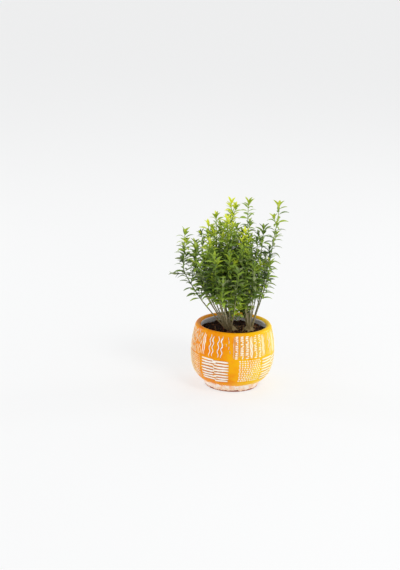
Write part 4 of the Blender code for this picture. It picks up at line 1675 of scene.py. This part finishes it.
@dataclass
class Foliage:
    """All twigs and leaves, grown pair by pair so that none crowds out its neighbours."""

    twig_radius: float = 0.85 * MM
    tip_radius: float = 0.45 * MM
    side_radius: float = 0.75 * MM
    side_tip_radius: float = 0.38 * MM
    fork_start: float = 6 * MM
    first_pair: float = 3 * MM
    top_pairs: tuple[float, ...] = (12.2 * MM, 7.6 * MM, 3.8 * MM, 1.3 * MM, 0.2 * MM)
    roll: float = 0.22
    to_light: float = 0.5
    leaf_length: float = 15.2 * MM
    leaf_width: float = 4.9 * MM
    core_reach: float = 45 * MM
    side_lengths: tuple[float, float] = (16.0, 36.0)
    side_rise: tuple[float, float] = (42.0, 62.0)
    side_bend: float = 0.3
    side_zone: tuple[float, float] = (0.02, 0.84)
    fan_foot: float = 15 * MM
    fan_slope: float = 0.56
    stray_start: float = 0.42
    stray_length: float = 17 * MM
    stray_rise: float = 0.03
    stray_closing: float = 52.0
    stray_pairs: tuple[float, ...] = (12 * MM, 6 * MM, 0.2 * MM)
    low_pitch: float = 1.7
    low_foot: float = 12.0
    low_lengths: tuple[float, float] = (8.0, 17.0)
    top_count: int = 3
    top_young: float = 0.8
    top_gap: float = 17.0
    top_pitch: float = 8.0
    # Over these shoot-top heights the leaves go from darker to lighter greens, partly as painted shade.
    green_tops: tuple[float, float] = (120.0, 285.0)
    leader_tone: float = 0.35
    side_tone: float = 0.85
    leaf_tone: float = 0.7
    tries: int = 10
    leaf_tries: int = 4
    seed: int = 11
    shapes: LeafShapes = field(default_factory=LeafShapes)
    room: Room = field(default_factory=Room)
    twigs: list[Twig] = field(default_factory=list)
    beds: dict[Shade, bmesh.types.BMesh] = field(default_factory=dict)
    rng: random.Random = field(default_factory=random.Random)
    placed: int = 0
    skipped: int = 0

    def grow_leaders(self, lines: dict[Shoot, ShootLine], forks: list[Fork]) -> None:
        """Lists the leading twigs of the main shoots and of the forks between them."""
        for shoot, line in lines.items():
            start = line.rise_to(shoot.bare * MM)
            self.room.add(rod(line, 0.0, start, 1.2 * MM), shoot.name)
            self.lead(shoot, line, start, start - (shoot.lowered + self.rng.uniform(0, 9)) * MM)
        for fork in forks:
            self.lead(fork.shoot, fork.line, 0.0, self.fork_start)

    def lead(self, shoot: Shoot, line: RisingLine, foot: float, start: float) -> None:
        """Lists one leading twig."""
        full = shoot.girth == 1.0
        self.room.add(rod(line, start, line.length, self.twig_radius * shoot.girth), shoot.name)
        self.twigs.append(
            Twig(
                key=shoot.name,
                line=line,
                foot=foot,
                start=start,
                radii=(self.twig_radius * shoot.girth, self.tip_radius),
                step=shoot.step * MM,
                size=1 + 0.09 * (shoot.step - 4.4) if full else 0.92,
                turn=self.rng.uniform(-0.4, 0.4),
                age=0.0,
                tone=self.rng.gauss(-0.3 * shoot.young, self.leader_tone),
                shoot=shoot,
            )
        )

    def grow_side_twigs(self) -> None:
        """Grows each leader's side twigs, where they have room and stay in the shoot's reach."""
        for leader in list(self.twigs):
            if leader.key == "far_left":
                self.stray_twig(leader)
            self.low_twigs(leader)
            self.top_twigs(leader)
            leafy = leader.line.length - leader.start
            count = round(leafy / (100 * MM) * leader.shoot.side_twigs)
            low, high = self.side_zone
            for i in range(count):
                share = low + (high - low) * (i + self.rng.uniform(0.1, 0.9)) / max(count, 1)
                self.side_twig(leader, i, share)

    def stray_twig(self, leader: Twig) -> None:
        """Grows the lone side twig that reaches furthest to the left."""
        s = leader.start + self.stray_start * (leader.line.length - leader.start)
        root = leader.line.at(s)[0]
        line = BentLine(root, Vector((-1, 0, self.stray_rise)).normalized(), self.stray_length, 0.0)
        self.add_side_twig(leader, "stray", self.stray_start, line)

    def low_twigs(self, leader: Twig) -> None:
        """Grows short twigs on the bare part of a leader, towards the middle of the clump."""
        rng = self.rng
        for i in range(round(max(leader.shoot.lowered, 0) / self.low_pitch)):
            s = leader.line.rise_to(rng.uniform(self.low_foot, leader.shoot.bare) * MM)
            root, along = leader.line.at(s)
            inward = (LEAFY_CENTRE - root).to_2d().normalized()
            for _ in range(self.tries):
                side = Matrix.Rotation(rng.gauss(0, 0.8), 2) @ inward
                lift = math.radians(rng.uniform(*self.side_rise))
                direction = side.to_3d() * math.cos(lift) + along * math.sin(lift)
                line = BentLine(root, direction.normalized(), rng.uniform(*self.low_lengths) * MM, self.side_bend)
                if self.room.clear(rod(line, 2 * MM, line.length, self.side_radius), {leader.key}):
                    self.add_side_twig(leader, f"low_{i}", 0.01, line)
                    break

    def top_twigs(self, leader: Twig) -> None:
        """Grows short twigs close under the bright tops, which make them full."""
        rng = self.rng
        for i in range(self.top_count if leader.shoot.young >= self.top_young else 0):
            gap = (self.top_gap + i * self.top_pitch + rng.uniform(-1, 1)) * MM
            root, along = leader.line.at(leader.line.length - gap)
            for _ in range(self.tries):
                lift = math.radians(rng.uniform(*self.side_rise))
                direction = square_to(along, rng.uniform(0, math.tau)) * math.cos(lift) + along * math.sin(lift)
                line = BentLine(root, direction, rng.uniform(0.5, 0.75) * gap, self.side_bend)
                if self.room.clear(rod(line, 2 * MM, line.length, self.side_radius), {leader.key}):
                    self.add_side_twig(leader, f"top_{i}", 1 - gap / leader.line.length, line)
                    break

    def side_twig(self, leader: Twig, index: int, share: float) -> None:
        """Tries to grow one side twig at a share of a leader's leafy length."""
        rng = self.rng
        top = leader.line.at(leader.line.length)[0]
        reach = max((top - CLUMP_CENTRE).xy.length + 2 * MM, self.core_reach)
        s = leader.start + share * (leader.line.length - leader.start)
        root, along = leader.line.at(s)
        rooted = (root - LEAFY_CENTRE).xy.length + 4 * MM
        for _ in range(self.tries):
            length = rng.uniform(*self.side_lengths) * MM * (1.12 - 0.5 * share)
            lift = math.radians(rng.uniform(*self.side_rise))
            direction = square_to(along, rng.uniform(0, math.tau)) * math.cos(lift) + along * math.sin(lift)
            line = BentLine(root, direction, length, self.side_bend)
            tip = line.at(length)[0]
            fan = max(self.fan_foot + self.fan_slope * (tip.z - SOIL_LEVEL), rooted)
            if (tip - LEAFY_CENTRE).xy.length > fan:
                continue
            if (tip - CLUMP_CENTRE).xy.length > reach or tip.z > top.z - 8 * MM:
                continue
            if self.room.clear(rod(line, 2 * MM, length, self.side_radius), {leader.key}):
                self.add_side_twig(leader, str(index), share, line)
                return

    def add_side_twig(self, leader: Twig, label: str, share: float, line: BentLine) -> None:
        """Keeps a side twig that has room."""
        key = f"{leader.key}_{label}"
        self.room.add(rod(line, 2 * MM, line.length, self.side_radius), key)
        self.twigs.append(
            Twig(
                key=key,
                line=line,
                foot=0.2 * MM,
                start=3.5 * MM,
                radii=(self.side_radius, self.side_tip_radius),
                step=leader.step * self.rng.uniform(0.84, 0.96),
                size=self.rng.uniform(0.8, 0.94),
                turn=self.rng.uniform(0, math.pi),
                age=share,
                tone=self.rng.gauss(0, self.side_tone),
                shoot=leader.shoot,
            )
        )

    def pairs(self, twig: Twig) -> list[float]:
        """The length along the twig of each leaf pair. They close up towards the tip."""
        if twig.key.endswith("stray"):
            return [twig.line.length - gap for gap in self.stray_pairs]
        found = []
        s = twig.start + self.first_pair
        while s < twig.line.length - self.top_pairs[0] - 0.6 * twig.step:
            found.append(s)
            s += twig.step * self.rng.uniform(0.88, 1.12)
        return found + [twig.line.length - gap * twig.size for gap in self.top_pairs]

    def grow_leaves(self) -> None:
        """Places all pairs, twig by twig in turn, from the lowest up."""
        plans = []
        for twig in self.twigs:
            plans.append((twig, self.pairs(twig)))
        level = 0
        while any(level < len(pairs) for _, pairs in plans):
            for twig, pairs in plans:
                if level < len(pairs):
                    self.pair(twig, level, pairs[level])
            level += 1

    def pair(self, twig: Twig, index: int, s: float) -> None:
        """Places the two leaves of one pair."""
        node, along = twig.line.at(s)
        turn = twig.turn + index * math.pi / 2
        for side in (0.0, math.pi):
            for _ in range(self.leaf_tries):
                if self.leaf(twig, node, along, turn + side, s):
                    self.placed += 1
                    break
            else:
                self.skipped += 1

    def leaf(self, twig: Twig, node: Vector, along: Vector, turn: float, s: float) -> bool:
        """Tries to place one leaf, and says whether it had room."""
        rng = self.rng
        share = (s - twig.start) / (twig.line.length - twig.start)
        young = math.exp((s - twig.line.length) / (6 * MM))
        rise = 10 + 13 * share + 36 * young + rng.gauss(0, 7)
        rise += self.stray_closing if twig.key.endswith("stray") else 0.0
        lift = math.radians(min(max(rise, -5), 78))
        if not twig.key.endswith("stray"):
            along = along.lerp(UP, self.to_light).normalized()
        out = square_to(along, turn + rng.uniform(-0.25, 0.25))
        direction = out * math.cos(lift) + along * math.sin(lift)
        if young < 0.3:
            direction = (direction - UP * rng.uniform(0.0, 0.12)).normalized()
        face = direction.cross(along.cross(out)).normalized()
        face = face if face.dot(along) > 0 else -face
        size = twig.size * (1.04 - 0.08 * share) * (1 - 0.24 * young**1.3) * rng.uniform(0.86, 1.12)
        length, width = self.leaf_length * size, self.leaf_width * size * rng.uniform(0.88, 1.12)
        root = node + out * twig.radius(s) * 0.75
        shape = blade(root, direction, face, length, width)
        joint = f"{twig.key}@{round(s / MM)}"
        if not self.room.clear(shape, {twig.key, joint}):
            return False
        self.room.add(shape, joint)
        rock = Matrix.Rotation(rng.gauss(0, self.roll) * (1 - 0.5 * young), 3, direction)
        across = face.cross(direction)
        axes = Matrix((direction * length, rock @ across * width, rock @ face * length)).transposed()
        bed = self.beds.setdefault(self.shade(twig, share, young, twig.line.length - s), bmesh.new())
        self.shapes.stamp(self.form(share, young)).press(bed, Matrix.Translation(root) @ axes.to_4x4())
        return True

    def form(self, share: float, young: float) -> LeafForm:
        """The form of a leaf, by its age."""
        if young > 0.35:
            return LeafForm.YOUNG
        older = (LeafForm.LEVEL, LeafForm.ARCHED, LeafForm.LEVEL, LeafForm.CURLED, LeafForm.FLAT)
        return self.rng.choice(older[:3] if share > 0.6 else older)

    def shade(self, twig: Twig, share: float, young: float, from_top: float) -> Shade:
        """The colour of a leaf, by its place on its twig and in its shoot, with painted shade in its darker greens low
        and inside.
        """
        leader = twig.age == 0.0
        height = twig.age + (1 - twig.age) * share * (1.0 if leader else 0.4)
        # Leaves on shorter shoots, low in the clump, get darker greens: partly their age, partly painted shade.
        low, high = self.green_tops
        height *= min(max((twig.shoot.top[2] - low) / (high - low), 0), 1)
        # Leaves of the inner forks get darker greens: painted shade inside the clump.
        if twig.shoot.girth < 1.0:
            height *= 0.85
        pull = max(twig.shoot.young, 0.0)
        tint = math.exp(-from_top / ((6 + 11 * pull) * MM)) * (1.0 if leader else 0.35)
        # The greens darken downwards, partly for age and partly as painted shade; the lowest leaves turn lighter again
        # as painted sheen.
        number = min(5.2 - 2.5 * height, 3.2 + 3.6 * height) - 0.3 * young
        number += twig.tone + self.rng.gauss(0, self.leaf_tone) - (0.25 + 2.2 * twig.shoot.young) * tint
        number = max(number, 2.4 - 3.2 * height)
        # The greyish green for low leaves is partly their age and partly painted sheen.
        if number > 4.2 and self.rng.random() < 0.45 - 0.3 * height:
            return Shade.OLD
        return LEAF_ORDER[min(max(round(number), 0), 6)]

    def build_twigs(self) -> None:
        """Builds and dresses the twigs."""
        wood = {"old": bmesh.new(), "young": bmesh.new()}
        for twig in self.twigs:
            leader = twig.age == 0.0
            start, length = twig.foot, twig.line.length
            step = twig.step / 2 if leader else twig.step
            count = max(2, round((length - start) / step))
            stations = []
            for k in range(count + 1):
                s = start + (length - start) * k / count
                swell = 1.12 if k % 2 else 1.0
                stations.append((s, twig.radius(s) * swell))
            if leader:
                half = count * 5 // 8
                pour(limb(twig.line, stations[: half + 1], 7), wood["old"])
                pour(limb(twig.line, stations[half:], 7), wood["young"])
            else:
                pour(limb(twig.line, stations, 5), wood["old" if twig.age < 0.45 else "young"])
        low, high = SOIL_LEVEL + 45 * MM, SOIL_LEVEL + 150 * MM
        old = BarkFinish("twig_bark", srgb("66713a"), srgb("6f8a3a"), srgb("4d5a2a"), (low, high), 0.4)
        green = BarkFinish("green_twig", srgb("7d9a3a"), srgb("a9bd44"), srgb("6a8a34"), (low, high), 0.3)
        names = ["foliage_" + shoot.name for shoot in SHOOTS]
        piece("twigs_brown_green", wood["old"], old.material(), Slot.FOLIAGE, names, 60.0)
        piece("twigs_green", wood["young"], green.material(), Slot.FOLIAGE, (), 60.0)

    def build(self, lines: dict[Shoot, ShootLine], forks: list[Fork]) -> None:
        """Builds and dresses the twigs and the leaves."""
        self.rng.seed(self.seed)
        self.grow_leaders(lines, forks)
        self.grow_side_twigs()
        self.grow_leaves()
        LOG.info("%d twigs, %d leaves, %d left out", len(self.twigs), self.placed, self.skipped)
        self.build_twigs()
        for shade, bed in self.beds.items():
            name = "leaves_" + shade.name.lower()
            piece(name, bed, shade.value.material(), Slot.FOLIAGE, (), 55.0)


# The studio


@dataclass
class Studio:
    """The pale floor, the soft lights and the camera."""

    camera_place: tuple[float, float, float] = (-0.0547, -2.7059, 0.9537)
    camera_pitch: float = 16.33
    camera_roll: float = 1.9
    lens: float = 162.0
    sensor: float = 36.0
    floor_size: float = 60.0
    floor_colour: Colour = (0.36, 0.365, 0.37)
    floor_glow: float = 0.585
    sky_colour: Colour = (1.0, 1.0, 1.0)
    sky_strength: float = 0.7
    sky_seen: float = 0.95

    def camera(self) -> None:
        """Places the camera as the photograph was taken."""
        data = bpy.data.cameras.new("camera")
        data.sensor_fit, data.sensor_width, data.lens = "HORIZONTAL", self.sensor, self.lens
        data.clip_start, data.clip_end = 0.01, 200.0
        camera = bpy.data.objects.new("camera", data)
        camera.location = self.camera_place
        tipped = Matrix.Rotation(math.radians(90 - self.camera_pitch), 3, "X")
        rolled = Matrix.Rotation(math.radians(self.camera_roll), 3, "Z")
        camera.rotation_euler = (tipped @ rolled).to_euler()
        bpy.context.scene.collection.objects.link(camera)
        bpy.context.scene.camera = camera

    def lamp(self, name: str, place: Vector, size: float, power: float, colour: Colour) -> None:
        """A square soft light that points at the plant."""
        data = bpy.data.lights.new(name, "AREA")
        data.shape, data.size, data.energy, data.color = "SQUARE", size, power, colour
        lamp = bpy.data.objects.new(name, data)
        lamp.location = place
        lamp.rotation_mode = "QUATERNION"
        lamp.rotation_quaternion = (Vector((0, 0, 0.15)) - place).to_track_quat("-Z", "Y")
        bpy.context.scene.collection.objects.link(lamp)

    def floor(self) -> None:
        """The floor, a wide pale sheet that runs to the horizon."""
        bm = bmesh.new()
        bmesh.ops.create_grid(bm, x_segments=1, y_segments=1, size=self.floor_size / 2)
        mesh = bpy.data.meshes.new("studio_floor")
        bm.to_mesh(mesh)
        bm.free()
        made = Dressing("studio_paper")
        made.set(Base_Color=self.floor_colour, Roughness=0.9, Specular_IOR_Level=0.1)
        made.set(Emission_Color=self.sky_colour, Emission_Strength=self.floor_glow)
        mesh.materials.append(made.material)
        floor = bpy.data.objects.new("studio_floor", mesh)
        floor.location.z = -0.05 * MM
        bpy.context.scene.collection.objects.link(floor)

    def build(self) -> None:
        """Sets up the floor, the lights, the sky and the camera."""
        self.camera()
        self.floor()
        world = bpy.data.worlds.new("studio_sky")
        world.use_nodes = True
        board = Board(world.node_tree)
        sky = world.node_tree.nodes["Background"]
        sky.inputs["Color"].default_value = rgba(self.sky_colour)
        seen = board.add("ShaderNodeLightPath").outputs["Is Camera Ray"]
        strength = board.ranged(seen, (0.0, 1.0), (self.sky_strength, self.sky_seen))
        world.node_tree.links.new(strength, sky.inputs["Strength"])
        bpy.context.scene.world = world
        self.lamp("key_light", Vector((0.8, -1.2, 1.8)), 0.6, 12.0, (1.0, 0.99, 0.96))
        self.lamp("fill_light", Vector((-1.2, -1.6, 0.8)), 1.4, 2.0, (0.98, 0.99, 1.0))
        self.lamp("front_light", Vector((0.3, -2.4, 0.5)), 1.2, 1.2, (1.0, 1.0, 1.0))
        self.lamp("right_light", Vector((1.7, 0.7, 0.36)), 0.5, 9.5, (1.0, 1.0, 1.0))
        self.lamp("left_light", Vector((-1.7, 0.7, 0.36)), 0.5, 7.0, (1.0, 1.0, 1.0))
        self.lamp("back_light", Vector((0.4, 1.5, 1.6)), 1.0, 3.0, (1.0, 1.0, 1.0))
        bpy.context.scene.view_settings.view_transform = "Standard"


def main() -> None:
    """Builds the studio, the pot and the plant round the frame."""
    logging.basicConfig(level=logging.INFO, format="%(name)s: %(message)s")
    for obj in list(bpy.data.objects):
        bpy.data.objects.remove(obj)
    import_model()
    Studio().build()
    pot = Pot()
    pot.build()
    Painting(pot).build()
    Compost(pot).build()
    lines = {shoot: ShootLine(shoot) for shoot in SHOOTS}
    CrownWood().build(lines)
    Stems().build(lines)
    Foliage().build(lines, InnerForks().grow(lines))


if __name__ == "__main__":
    main()
